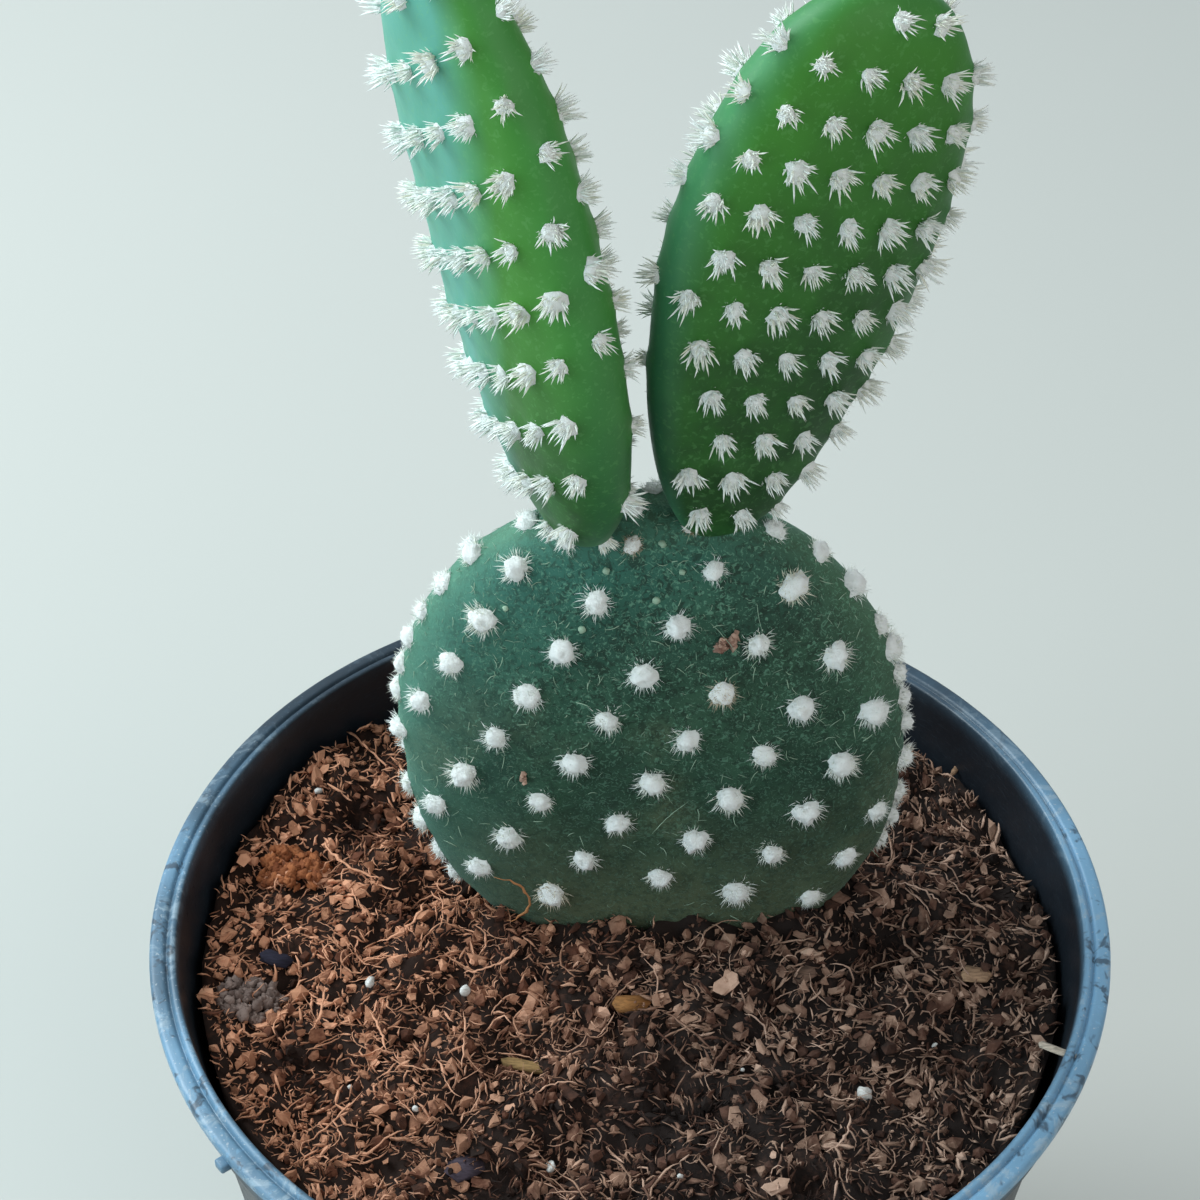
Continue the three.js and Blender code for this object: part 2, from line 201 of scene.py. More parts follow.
class Pad:
    """One stem segment: an oval outline with a lens-like section, both closing at the foot and the tip."""

    def __init__(self, values):
        for name, value in values.items():
            setattr(self, name, value)
        steps = np.arange(1, SEARCH_STEPS) / SEARCH_STEPS
        turns = np.arange(SEARCH_STEPS) / SEARCH_STEPS * TURN
        self.sample_t, self.sample_angle = (grid.ravel() for grid in np.meshgrid(steps, turns, indexing="ij"))
        self.samples = self.point(self.sample_t, self.sample_angle)

    def profile(self, t, extra):
        below = t < self.widest
        reach = np.where(below, self.widest, 1 - self.widest)
        curve = np.where(below, self.lower_curve, self.upper_curve) + extra
        share = np.minimum(np.abs(t - self.widest) / reach, 1)
        return (1 - share**curve) ** (1 / curve)

    def direction(self, t):
        lean = np.radians(self.lean + self.bend * (t - 0.5))
        back = math.radians(self.back)
        return np.stack([np.sin(lean), np.cos(lean) * math.sin(back), np.cos(lean) * math.cos(back)], axis=-1)

    def frame(self, t):
        axis = self.direction(t)
        centre = np.array(self.foot) + self.direction(t / 2) * (self.length * t)[:, None]
        flat = unit(np.array([0.0, -1.0, 0.0]) + axis * axis[:, 1:2])
        across = np.cross(axis, flat)
        turn = np.radians(self.turn + self.twist * (t - 0.5))[:, None]
        face = flat * np.cos(turn) + across * np.sin(turn)
        return centre, face, np.cross(axis, face)

    def point(self, t, angle):
        """Points of the skin in millimetres; angle 0 is the middle of the front face."""
        t = np.atleast_1d(np.asarray(t, float))
        angle = np.broadcast_to(np.asarray(angle, float), t.shape)
        centre, face, side = self.frame(t)
        power = 2 / SECTION_CURVE
        width = self.half_width * self.profile(t, 0) * np.sign(np.sin(angle)) * np.abs(np.sin(angle)) ** power
        depth = self.half_thickness * self.profile(t, THICKNESS_CURVE)
        depth = depth * np.sign(np.cos(angle)) * np.abs(np.cos(angle)) ** power
        return centre + side * width[:, None] + face * depth[:, None]

    def normal(self, t, angle):
        step = 0.01
        t = np.atleast_1d(np.asarray(t, float))
        angle = np.broadcast_to(np.asarray(angle, float), t.shape)
        up = self.point(np.minimum(t + step, 1), angle) - self.point(np.maximum(t - step, 0), angle)
        around = self.point(t, angle + step) - self.point(t, angle - step)
        return unit(np.cross(around, up))

    def angle_at(self, t, distance):
        """The angle that lies a distance round the pad from the middle of its face, or None past the back."""
        steps = 48
        way = -1 if distance < 0 else 1
        angles = way * np.arange(steps + 1) * math.pi / steps
        section = self.point(np.full(steps + 1, t), angles)
        gone = np.concatenate([[0], np.cumsum(np.linalg.norm(np.diff(section, axis=0), axis=1))])
        if abs(distance) > gone[-1]:
            return None
        return float(np.interp(abs(distance), gone, np.abs(angles))) * way

    def areoles(self):
        """Tuft places in slanting rows, with the bare tip and seam filled at the same spacing."""
        found = []
        points = np.empty((0, 3))

        def add(t, angle, place, distance):
            nonlocal points
            if len(points) and np.min(np.linalg.norm(points - place, axis=1)) < distance:
                return
            found.append((t, angle))
            points = np.vstack([points, place])

        closest = self.spacing * CLOSEST_SHARE
        for i in range(-ROW_REACH, ROW_REACH + 1):
            for j in range(-ROW_REACH, ROW_REACH + 1):
                around = self.start[0] + i * self.across[0] + j * self.along[0]
                t = (self.start[1] + i * self.across[1] + j * self.along[1]) / self.length
                if t < LOWEST_TUFT or t > HIGHEST_ROW:
                    continue
                angle = self.angle_at(t, around)
                if angle is not None:
                    add(t, angle, self.point(t, angle)[0], closest)
        add(TOP_TUFT, 0.0, self.point(TOP_TUFT, 0.0)[0], closest)
        for t, angle, place in zip(self.sample_t, self.sample_angle, self.samples):
            add(t, angle, place, self.spacing)
        t, angle = np.array(found).T
        return t, angle, self.point(t, angle), self.normal(t, angle)

    def tufts(self, neighbours):
        """Place, outward direction, relative size and (t, angle) of each tuft that stands free."""
        source = Seeded(self.seed)
        kept = []
        for t, angle, place, normal in zip(*self.areoles()):
            share = 0.85 + 0.3 * source.draw()
            source.draw()  # the roll of the burr in the part's source
            tip = place + normal * self.tuft_height * 0.6
            if tip[2] - self.tuft_radius < soil_height(tip[0], tip[1]) + SOIL_ROOM:
                continue
            room = min(np.min(np.linalg.norm(other.samples - tip, axis=1)) for other in neighbours)
            if room < CROWDED_ROOM:
                continue
            crowded = room < self.tuft_radius + TUFT_ROOM
            kept.append((place, normal, share * (CROWDED_SHARE if crowded else 1), t, angle))
        return kept


def soil_height(x, y):
    """The soil's top in millimetres: heaped against the pad and lower at the back right."""
    distance = math.hypot(x - MOUND_PLACE[0], y - MOUND_PLACE[1])
    heap = MOUND * math.exp(-((distance / MOUND_REACH) ** 2))
    dip_heading = math.radians(DIP_HEADING)
    towards_dip = x * math.cos(dip_heading) + y * math.sin(dip_heading)
    dip = DIP * max(0, towards_dip / RIM_RADIUS) ** 2
    waves = 0
    for lump in LUMPS:
        heading = math.radians(lump["heading"])
        along = x * math.cos(heading) + y * math.sin(heading)
        waves += lump["height"] * math.sin(along / lump["length"] * TURN + math.radians(lump["phase"]))
    return SOIL_LEVEL + heap - dip + waves


def wall_radius(z):
    return FOOT_RADIUS + (SHOULDER_RADIUS - FOOT_RADIUS) * z / (POT_HEIGHT - RIM_DEPTH)


def soil_edge(z):
    return wall_radius(z) - WALL - CLEARANCE


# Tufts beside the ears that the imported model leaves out, as (share of the old pad's length, angle, size)
CROWN_TUFTS = (
    (0.973, 0.68, 0.62), (0.968, -0.5, 0.75), (0.997, 0.35, 0.6), (0.996, 2.4, 0.75), (0.93, 1.37, 0.84),
)
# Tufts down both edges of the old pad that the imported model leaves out
EDGE_ANGLE = 1.5
EDGE_STEPS = 15
LOWEST_EDGE_TUFT = 0.26
HIGHEST_EDGE_TUFT = 0.975
EDGE_TUFT_SIZE = 0.85
EDGE_TUFT_ROOM = 3.3
HIGHEST_NORMAL = 0.985
# Each aged tuft of the old pad: the x and z nearest to it, and its age from white at 0 to brown at 1
AGED_TUFTS = (
    (-1.4, 135.4, 0.42), (6.1, 137.2, 0.5), (9.5, 120.3, 0.36), (18.3, 130.5, 0.25), (-9.9, 87.5, 0.3),
)

PADS = {"base_pad": Pad(BASE_PAD), "right_ear": Pad(RIGHT_EAR), "left_ear": Pad(LEFT_EAR)}


class Shape:
    """The points and faces of a small finished bmesh, ready to be repeated."""

    def __init__(self, bm):
        bm.verts.index_update()
        self.points = np.array([vert.co[:] for vert in bm.verts])
        self.corners = np.array([vert.index for face in bm.faces for vert in face.verts])
        self.sides = np.array([len(face.verts) for face in bm.faces])
        bm.free()


class Swarm:
    """Gathers turned and sized copies of small shapes and joins them in one mesh."""

    def __init__(self):
        self.points = []
        self.corners = []
        self.sides = []
        self.tones = []
        self.total = 0

    def add(self, shape, turns, sizes, places, tones):
        """turns is (n, 3, 3), sizes is (n,) or (n, 3), places is (n, 3) in metres, tones is (n,)."""
        count = len(places)
        if not count:
            return
        sizes = np.asarray(sizes, float)
        if sizes.ndim == 1:
            sizes = np.repeat(sizes[:, None], 3, axis=1)
        moved = np.einsum("nij,vj->nvi", turns * sizes[:, None, :], shape.points) + places[:, None, :]
        first = self.total + np.arange(count)[:, None] * len(shape.points)
        self.points.append(moved.reshape(-1, 3))
        self.corners.append((shape.corners[None, :] + first).ravel())
        self.sides.append(np.tile(shape.sides, count))
        self.tones.append(np.repeat(tones, len(shape.points)))
        self.total += count * len(shape.points)

    def add_one(self, shape, turn, size, place, tone=0.5):
        """Adds one copy; its size, a number or one for each axis, and its place are in millimetres."""
        self.add(shape, turn[None], np.array([size]) * MM, np.array([place]) * MM, np.array([tone]))

    def mesh(self, name):
        points = np.concatenate(self.points)
        corners = np.concatenate(self.corners)
        sides = np.concatenate(self.sides)
        mesh = bpy.data.meshes.new(name)
        mesh.vertices.add(len(points))
        mesh.vertices.foreach_set("co", points.ravel())
        mesh.loops.add(len(corners))
        mesh.loops.foreach_set("vertex_index", corners)
        mesh.polygons.add(len(sides))
        mesh.polygons.foreach_set("loop_start", np.concatenate([[0], np.cumsum(sides)[:-1]]))
        mesh.update(calc_edges=True)
        keep_values(mesh, "tone", np.concatenate(self.tones))
        return mesh


def keep_values(mesh, name, values):
    """Keeps a number for each point of the mesh, for its finish to read."""
    kept = mesh.attributes.new(name, "FLOAT", "POINT")
    kept.data.foreach_set("value", values.astype(np.float32))


def facing(directions, rolls):
    """Turns that carry +Z to each direction, after a roll about it."""
    z = unit(directions)
    helper = np.where(np.abs(z[:, 2:]) < 0.9, np.array([0.0, 0.0, 1.0]), np.array([1.0, 0.0, 0.0]))
    x = unit(np.cross(helper, z))
    y = np.cross(z, x)
    cosine, sine = np.cos(rolls)[:, None], np.sin(rolls)[:, None]
    return np.stack([x * cosine + y * sine, y * cosine - x * sine, z], axis=2)


def new_piece(name, mesh, material, replaced=(), smooth=True):
    """Links a finished mesh as a piece that rides with the pot and stands for the named nodes."""
    mesh.name = name
    piece = bpy.data.objects.new(name, mesh)
    bpy.context.scene.collection.objects.link(piece)
    mesh.materials.append(material)
    mesh.polygons.foreach_set("use_smooth", [smooth] * len(mesh.polygons))
    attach(piece, BODY)
    if replaced:
        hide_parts(*replaced)
    return piece


def mesh_of(bm, name):
    mesh = bpy.data.meshes.new(name)
    bm.to_mesh(mesh)
    bm.free()
    return mesh


def turned(profile, steps):
    """Spins an outline of (radius, height) points in millimetres once round the Z axis."""
    bm = bmesh.new()
    verts = [bm.verts.new((radius * MM, 0, height * MM)) for radius, height in profile]
    edges = [bm.edges.new(pair) for pair in zip(verts, verts[1:])]
    bmesh.ops.spin(
        bm, geom=verts + edges, cent=(0, 0, 0), axis=(0, 0, 1), angle=TURN, steps=steps, use_merge=True
    )
    bmesh.ops.remove_doubles(bm, verts=bm.verts, dist=1e-7)
    bmesh.ops.recalc_face_normals(bm, faces=bm.faces)
    return bm


# Small shapes

def long_edges(bm):
    return [edge for edge in bm.edges if abs(edge.verts[0].co.z - edge.verts[1].co.z) > 0.5]


def bend_along(bm, turn):
    """Bends a shape that stands from z = 0 to z = 1 into an arc of the same length, towards +X."""
    if abs(turn) < 1e-6:
        return
    radius = 1 / turn
    for vert in bm.verts:
        angle = vert.co.z * turn
        reach = radius - vert.co.x
        vert.co = Vector((radius - reach * math.cos(angle), vert.co.y, reach * math.sin(angle)))


def rod(sides, parts, radius):
    """A closed rod from z = 0 to z = 1, cut across into parts."""
    bm = bmesh.new()
    bmesh.ops.create_cone(
        bm, cap_ends=True, segments=sides, radius1=radius, radius2=radius, depth=1,
        matrix=Matrix.Translation((0, 0, 0.5)),
    )
    bmesh.ops.subdivide_edges(bm, edges=long_edges(bm), cuts=parts - 1, use_grid_fill=True)
    return bm


def bristle_shape(sides, parts, radius, turn, bluntness=2.0):
    """A bristle of length 1, closed at both ends: the higher bluntness, the longer it stays thick."""
    bm = rod(sides, parts, radius)
    for vert in bm.verts:
        slim = (1 - vert.co.z**bluntness) ** 0.6
        vert.co.x *= slim
        vert.co.y *= slim
    tip = [vert for vert in bm.verts if vert.co.z > 0.999]
    bmesh.ops.pointmerge(bm, verts=tip, merge_co=(0, 0, 1))
    bend_along(bm, turn)
    return Shape(bm)


def strand_shape(sides, parts, radius, turn, seed):
    """A loose strand of length 1: a thin rod with uneven girth, bent and kinked."""
    draw = random.Random(seed)
    bm = rod(sides, parts, radius)
    girths = [draw.uniform(0.6, 1.25) for _ in range(parts + 1)]
    shifts = [(draw.uniform(-1, 1), draw.uniform(-1, 1)) for _ in range(parts + 1)]
    for vert in bm.verts:
        ring = round(vert.co.z * parts)
        girth = girths[ring] * (1 - 0.75 * abs(2 * vert.co.z - 1) ** 3)
        vert.co.x = vert.co.x * girth + shifts[ring][0] * radius * 0.8
        vert.co.y = vert.co.y * girth * 0.55 + shifts[ring][1] * radius * 0.8
    bend_along(bm, turn)
    middle = sum((vert.co for vert in bm.verts), Vector()) / len(bm.verts)
    bmesh.ops.translate(bm, verts=bm.verts, vec=-middle)
    return Shape(bm)


def crumb_shape(detail, seed, roughness):
    """A rough grain of radius about 1."""
    bm = bmesh.new()
    bmesh.ops.create_icosphere(bm, subdivisions=detail, radius=1)
    offset = Vector((seed * 7.3, seed * 3.1, seed * 5.7))
    for vert in bm.verts:
        vert.co *= 1 + roughness * noise.noise(vert.co * 1.4 + offset)
    return Shape(bm)


def chip_shape(seed):
    """A flat flake about 2 long, with worn corners and a slight bow."""
    noise.seed_set(CHIP_SEED)  # without a seed, noise_vector differs from run to run
    bm = bmesh.new()
    bmesh.ops.create_cube(bm, size=2)
    bmesh.ops.subdivide_edges(bm, edges=bm.edges, cuts=1, use_grid_fill=True)
    offset = Vector((seed * 2.9, seed * 9.1, seed * 4.3))
    for vert in bm.verts:
        vert.co.x *= 1 - 0.3 * abs(vert.co.y)
        vert.co += 0.45 * noise.noise_vector(vert.co * 0.9 + offset)
        vert.co = Vector((vert.co.x, vert.co.y * 0.5, vert.co.z * 0.13 + 0.16 * vert.co.x**2))
    return Shape(bm)


def wool_shape(seed, detail):
    """A low woolly dome of radius about 1."""
    bm = bmesh.new()
    bmesh.ops.create_icosphere(bm, subdivisions=detail, radius=1)
    offset = Vector((seed * 3.3, seed * 8.1, seed * 5.9))
    for vert in bm.verts:
        lumps = 0.3 * noise.noise(vert.co * 1.7 + offset)
        vert.co *= 0.94 + lumps + 0.2 * noise.noise(vert.co * 4.9 + offset)
    return Shape(bm)


# Shader expressions

class Reading:
    """What a shader node gives, with Python's arithmetic adding the Math nodes."""

    def __init__(self, finish, socket):
        self.finish = finish
        self.socket = socket

    def math(self, operation, *values):
        return self.finish.node("ShaderNodeMath", {"operation": operation}, dict(enumerate(values)))

    def __add__(self, other):
        return self.math("ADD", self, other)

    __radd__ = __add__

    def __mul__(self, other):
        return self.math("MULTIPLY", self, other)

    __rmul__ = __mul__

    def __sub__(self, other):
        return self.math("SUBTRACT", self, other)

    def __rsub__(self, other):
        return self.math("SUBTRACT", other, self)

    def __truediv__(self, other):
        return self.math("DIVIDE", self, other)

    def __pow__(self, other):
        return self.math("POWER", self, other)


class Finish:
    """A material with the nodes that give it its pattern."""

    def __init__(self, name, **constants):
        self.material = bpy.data.materials.new(name)
        self.material.use_nodes = True
        self.nodes = self.material.node_tree.nodes
        self.links = self.material.node_tree.links
        self.shader = self.nodes["Principled BSDF"]
        for socket, value in constants.items():
            self.shader.inputs[socket.replace("_", " ")].default_value = value
        self.place = self.node("ShaderNodeTexCoord", output="Object")

    def node(self, kind, settings=None, inputs=None, output=0):
        made = self.nodes.new(kind)
        settings = dict(settings or {})
        stops = settings.pop("stops", None)
        for name, value in settings.items():
            setattr(made, name, value)
        if stops:
            elements = made.color_ramp.elements
            while len(elements) < len(stops):
                elements.new(0.5)
            for element, (position, colour) in zip(elements, stops):
                element.position = position
                element.color = (*colour, 1)
        for key, value in (inputs or {}).items():
            self.feed(made.inputs[key], value)
        return Reading(self, made.outputs[output])

    def feed(self, socket, value):
        if isinstance(value, Reading):
            self.links.new(value.socket, socket)
        elif isinstance(value, tuple) and len(value) == 3 and socket.type == "RGBA":
            socket.default_value = (*value, 1)
        else:
            socket.default_value = value

    def stretched(self, scale, turn=(0, 0, 0)):
        return self.node("ShaderNodeMapping", None, {"Vector": self.place, "Scale": scale, "Rotation": turn})

    def cloud(self, scale, detail=3.0, roughness=0.55, distortion=0.0, vector=None):
        inputs = {
            "Vector": vector or self.place, "Scale": scale, "Detail": detail, "Roughness": roughness,
            "Distortion": distortion,
        }
        return self.node("ShaderNodeTexNoise", None, inputs)

    def cells(self, scale):
        return self.node("ShaderNodeTexVoronoi", None, {"Vector": self.place, "Scale": scale})

    def attribute(self, name):
        return self.node("ShaderNodeAttribute", {"attribute_name": name}, None, "Fac")

    def axis(self, letter):
        return self.node("ShaderNodeSeparateXYZ", None, {"Vector": self.place}, letter)

    def step(self, value, low, high):
        """0 below low, 1 above high, and smooth between them."""
        inputs = {"Value": value, "From Min": low, "From Max": high}
        return self.node("ShaderNodeMapRange", {"interpolation_type": "SMOOTHSTEP"}, inputs)

    def mix(self, factor, first, second, blend="MIX"):
        settings = {"data_type": "RGBA", "blend_type": blend}
        return self.node("ShaderNodeMix", settings, {0: factor, 6: first, 7: second}, 2)

    def ramp(self, value, stops):
        return self.node("ShaderNodeValToRGB", {"stops": stops}, {"Fac": value})

    def surface(self, colour=None, roughness=None, relief=None, depth=0.0002, strength=1.0):
        if colour is not None:
            self.feed(self.shader.inputs["Base Color"], colour)
        if roughness is not None:
            self.feed(self.shader.inputs["Roughness"], roughness)
        if relief is not None:
            inputs = {"Height": relief, "Distance": depth, "Strength": strength}
            self.feed(self.shader.inputs["Normal"], self.node("ShaderNodeBump", None, inputs))
        return self.material


def colour_of(value):
    return tuple(value)[:3]


def shaded(colour, factor):
    return tuple(factor * value for value in colour)


# Colours that the settings leave alone
PAINTED_GLINTS = (0.5, 0.54, 0.56)
SMEARS = (0.33, 0.42, 0.48)
RUST_TINT = (1.34, 1.0, 0.8)
PORES = (0.18, 0.32, 0.24)
OLD_SKY_SHEEN = (0.07, 0.24, 0.19)
OLD_MARGIN = (0.17, 0.36, 0.2)
YOUNG_MARGIN = (0.06, 0.28, 0.12)
MOTTLE = (0.16, 0.42, 0.14)
CREAM_TINT = (0.93, 0.88, 0.74)
TAN_BRISTLE = (0.42, 0.26, 0.15)
BROWN_BRISTLE = (0.13, 0.05, 0.028)
AGED_WOOL = (0.45, 0.3, 0.19)
PALE_GRAIN = (0.74, 0.74, 0.72)
GRAIN_STREAK = (0.5, 0.47, 0.42)
SCRAP_DARK = (0.16, 0.07, 0.05)
SCRAP_LIGHT = (0.62, 0.42, 0.32)
CURL_DARK = (0.36, 0.13, 0.045)
CURL_LIGHT = (0.5, 0.24, 0.1)


def plastic_finish(settings):
    """Black plastic; on the rim a blue-grey of dust and scuffs with a painted reflection of the sky, fainter
    at the back, a painted highlight to the right and painted glints.
    """
    finish = Finish("pot_plastic", Specular_IOR_Level=0.5, Coat_Roughness=0.3)
    black = colour_of(settings.plastic)
    dust_and_reflection = colour_of(settings.dust_and_reflection)
    level = finish.node("ShaderNodeVectorMath", {"operation": "MULTIPLY"}, {0: finish.place, 1: (1, 1, 0)})
    radius = finish.node("ShaderNodeVectorMath", {"operation": "LENGTH"}, {0: level}, "Value")
    on_flange = finish.step(radius, (RIM_RADIUS - RIM_WIDTH - 0.5) * MM, (RIM_RADIUS - RIM_WIDTH + 0.4) * MM)
    # The dust and the painted reflection of the sky fade towards the back.
    at_back = finish.step(finish.axis("Y"), 8 * MM, 40 * MM)
    near_rim = finish.step(finish.axis("Z"), (POT_HEIGHT - RIM_DEPTH) * MM, (POT_HEIGHT - 1) * MM)
    near_rim = near_rim * on_flange * (1 - 0.85 * at_back)
    blotches = finish.cloud(90, 4, 0.6)
    scuffs = finish.step(finish.cloud(900, 4, 0.7, 0.4), 0.56, 0.72)
    scratches = finish.step(finish.cloud(700, 2, 0.5, 0, finish.stretched((1, 1, 14))), 0.6, 0.75)
    # On the flange, real dust and scuffs together with a painted reflection of the sky.
    wear_and_reflection = near_rim * (0.5 + 0.5 * scuffs + 0.35 * blotches) + (1 - near_rim) * 0.05 * blotches
    specks = finish.step(finish.cloud(2600, 1, 0.5), 0.68, 0.72)
    wear_and_reflection = wear_and_reflection * (0.55 + 0.9 * finish.step(finish.cloud(28, 3, 0.6), 0.36, 0.6))
    colour = finish.mix(wear_and_reflection + 0.05 * scratches, black, dust_and_reflection)
    # A painted highlight: the flange is lighter towards the right.
    lit = finish.step(finish.axis("X"), 5 * MM, 45 * MM) * near_rim
    colour = finish.mix(lit * 0.45, colour, shaded(dust_and_reflection, 1.7))
    # Painted glints: pale specks over the flange.
    colour = finish.mix(specks * 0.45 * near_rim, colour, PAINTED_GLINTS)
    smears = finish.step(finish.cloud(260, 4, 0.7, 0.8), 0.52, 0.64)
    colour = finish.mix(smears * 0.6 * near_rim, colour, SMEARS)
    bare = finish.step(finish.cloud(330, 3, 0.7, 0.5), 0.44, 0.34)
    colour = finish.mix(bare * 0.7 * near_rim, colour, shaded(black, 3))
    roughness = 0.3 + 0.22 * blotches + 0.2 * scuffs
    relief = finish.cloud(1500, 3, 0.6) + scratches * 0.5
    return finish.surface(colour, roughness, relief, 0.00006, 0.35)


def soil_finish(settings, name, lift):
    """Brown peat and fibre: the tone of each crumb picks its brown, and lift lightens the whole."""
    finish = Finish(name, Specular_IOR_Level=0.25)
    dark = colour_of(settings.dark)
    mid = colour_of(settings.mid)
    light = colour_of(settings.light)
    tone = finish.attribute("tone")
    fine = finish.cloud(1400, 3, 0.65)
    patches = finish.cloud(55, 3, 0.6)
    redder = finish.step(finish.axis("X") - 0.35 * finish.axis("Y"), 22 * MM, -30 * MM)
    straw = tuple(min(1, 1.35 * value + 0.05) for value in light)
    clods = finish.step(finish.cloud(190, 3, 0.6), 0.36, 0.6)
    value = tone + 0.34 * fine + 0.14 * patches + 0.2 * clods - 0.36 + lift
    colour = finish.ramp(value, ((0.05, dark), (0.38, mid), (0.72, light), (1.0, straw)))
    warm = finish.mix(redder, colour, RUST_TINT, "MULTIPLY")
    return finish.surface(warm, 0.95, finish.cloud(3500, 3, 0.6), 0.00012, 0.6)


def chip_finish(name, colour, streak):
    """Woody or stony matter with streaks across its grain."""
    finish = Finish(name, Specular_IOR_Level=0.3)
    grain = finish.cloud(900, 3, 0.6, 0.2, finish.stretched((1, 5, 5), (0.3, 0.4, 0.7)))
    tone = finish.attribute("tone")
    shade = finish.mix(finish.step(grain, 0.35, 0.7) * 0.8 + tone * 0.2, colour, streak)
    return finish.surface(shade, 0.85, grain, 0.0001, 0.5)


def old_skin_finish(settings):
    """Dull velvety skin: blue-green, with a painted teal sheen of the sky light towards the upper left and on
    the left side, painted shade in fine creases, and brownish where it enters the soil.
    """
    finish = Finish(
        "old_pad_skin", Specular_IOR_Level=0.3, Sheen_Weight=0.16, Sheen_Roughness=0.4,
        Sheen_Tint=(0.55, 0.9, 0.78, 1),
    )
    deep = colour_of(settings.old_deep)
    mid = colour_of(settings.old_mid)
    colour = finish.mix(finish.step(finish.cloud(95, 4, 0.6), 0.35, 0.68), deep, mid)
    x, z = finish.axis("X"), finish.axis("Z")
    # A painted sheen of the cool sky light: teal towards the upper left.
    upper_left = finish.step(z - 0.55 * x + 0.02 * finish.cloud(60, 2), 122 * MM, 160 * MM)
    colour = finish.mix(upper_left * 0.7, colour, colour_of(settings.old_sky_teal))
    low = finish.step(z + 0.02 * finish.cloud(70, 3), 118 * MM, 94 * MM)
    colour = finish.mix(low * 0.8, colour, colour_of(settings.old_brown))
    stains = finish.step(finish.cloud(42, 4, 0.62), 0.48, 0.62) * (1 - finish.step(z, 105 * MM, 128 * MM))
    colour = finish.mix(stains * 0.75, colour, colour_of(settings.old_brown))
    flecks = finish.step(finish.cloud(1700, 2, 0.6, 1.6), 0.55, 0.64)
    pores = finish.step(finish.cells(2600), 0.16, 0.06)
    upper = finish.step(z, 90 * MM, 130 * MM)
    # Painted shade in the skin's fine creases: a much darker copy of the deep green, stronger above.
    crease_shade = finish.step(finish.cloud(1100, 3, 0.65, 1.0), 0.54, 0.38)
    colour = finish.mix(crease_shade * (0.4 + 0.35 * upper), colour, shaded(deep, 0.4))
    colour = finish.mix(flecks * (0.15 + 0.35 * upper), colour, colour_of(settings.old_fleck))
    colour = finish.mix(pores * 0.25, colour, PORES)
    # Painted sheen of the sky light on the sides that face it.
    sky_sheen_mask = finish.attribute("sky_sheen_mask")
    colour = finish.mix(sky_sheen_mask * 0.5, colour, OLD_SKY_SHEEN)
    margin = finish.attribute("margin")
    colour = finish.mix(margin * upper * 0.35, colour, OLD_MARGIN)
    relief = finish.cloud(1900, 3, 0.6, 0.8) + 0.5 * flecks
    return finish.surface(colour, 0.62 + 0.15 * finish.cloud(300, 2), relief, 0.00012, 0.8)


# The paler green of an ear sets in between these heights, in millimetres.
LIFT_HEIGHTS = (138.0, 170.0)
# How strong the painted sheen of the sky light on an ear's left side is, and how much paler the ear is above
YOUNG_LOOKS = {"right_ear": (0.2, 0.1), "left_ear": (0.85, 1.05)}


def young_skin_finish(settings, name, bloom, lift):
    """Fresh smooth skin: deep green, yellower near the tip with a painted highlight at the upper left, paler
    above by lift, and a painted sheen of the sky light on the left side.
    """
    finish = Finish(
        name, Specular_IOR_Level=0.35, Sheen_Weight=0.1, Sheen_Roughness=0.35,
        Sheen_Tint=(0.6, 1.0, 0.8, 1),
    )
    deep = colour_of(settings.young_deep)
    mid = colour_of(settings.young_mid)
    bright = colour_of(settings.young_bright)
    x, z = finish.axis("X"), finish.axis("Z")
    colour = finish.mix(finish.step(finish.cloud(130, 4, 0.6), 0.36, 0.66), deep, mid)
    # Yellower towards the tips, the young growth's own colour, with a painted highlight leaning it to the
    # upper left.
    tips = finish.step(z - 0.35 * x + 0.012 * finish.cloud(80, 2), 155 * MM, 195 * MM)
    colour = finish.mix(tips * 0.75, colour, bright)
    risen = finish.step(z, LIFT_HEIGHTS[0] * MM, LIFT_HEIGHTS[1] * MM)
    colour = finish.mix(lift * risen * (0.35 + 0.6 * finish.cloud(110, 3)), colour, bright)
    margin = finish.attribute("margin")
    colour = finish.mix(margin * 0.3, colour, YOUNG_MARGIN)
    # Painted sheen of the sky light on the ear's left side, as strong as bloom.
    sky_sheen_mask = finish.attribute("sky_sheen_mask")
    painted_sky_sheen = sky_sheen_mask * bloom * (0.75 + 0.4 * finish.cloud(150, 2))
    colour = finish.mix(painted_sky_sheen, colour, colour_of(settings.young_sky_sheen))
    mottle = finish.step(finish.cloud(1700, 2, 0.6, 0.6), 0.55, 0.68)
    colour = finish.mix(mottle * 0.16, colour, MOTTLE)
    relief = finish.cloud(1100, 3, 0.55, 0.5)
    return finish.surface(colour, 0.42 + 0.16 * finish.cloud(240, 2), relief, 0.00006, 0.4)


def bristle_finish(settings, name):
    """White barbed bristles: tone 0 is clean white and tone 1 is aged brown."""
    finish = Finish(name, Specular_IOR_Level=0.35)
    tone = finish.attribute("tone")
    white = colour_of(settings.bristle)
    cream = tuple(value * tint for value, tint in zip(white, CREAM_TINT))
    colour = finish.ramp(tone, ((0.0, white), (0.35, cream), (0.7, TAN_BRISTLE), (1.0, BROWN_BRISTLE)))
    return finish.surface(colour, 0.6)


def wool_finish(settings):
    """White felted wool, tan where it is aged."""
    finish = Finish("tuft_wool", Specular_IOR_Level=0.2, Sheen_Weight=0.3, Sheen_Roughness=0.5)
    tone = finish.attribute("tone")
    white = colour_of(settings.wool)
    strands = finish.cloud(4200, 3, 0.7, 1.5)
    colour = finish.mix(finish.step(tone + 0.4 * strands, 0.55, 1.1), white, AGED_WOOL)
    return finish.surface(colour, 0.9, strands, 0.00025, 0.8)


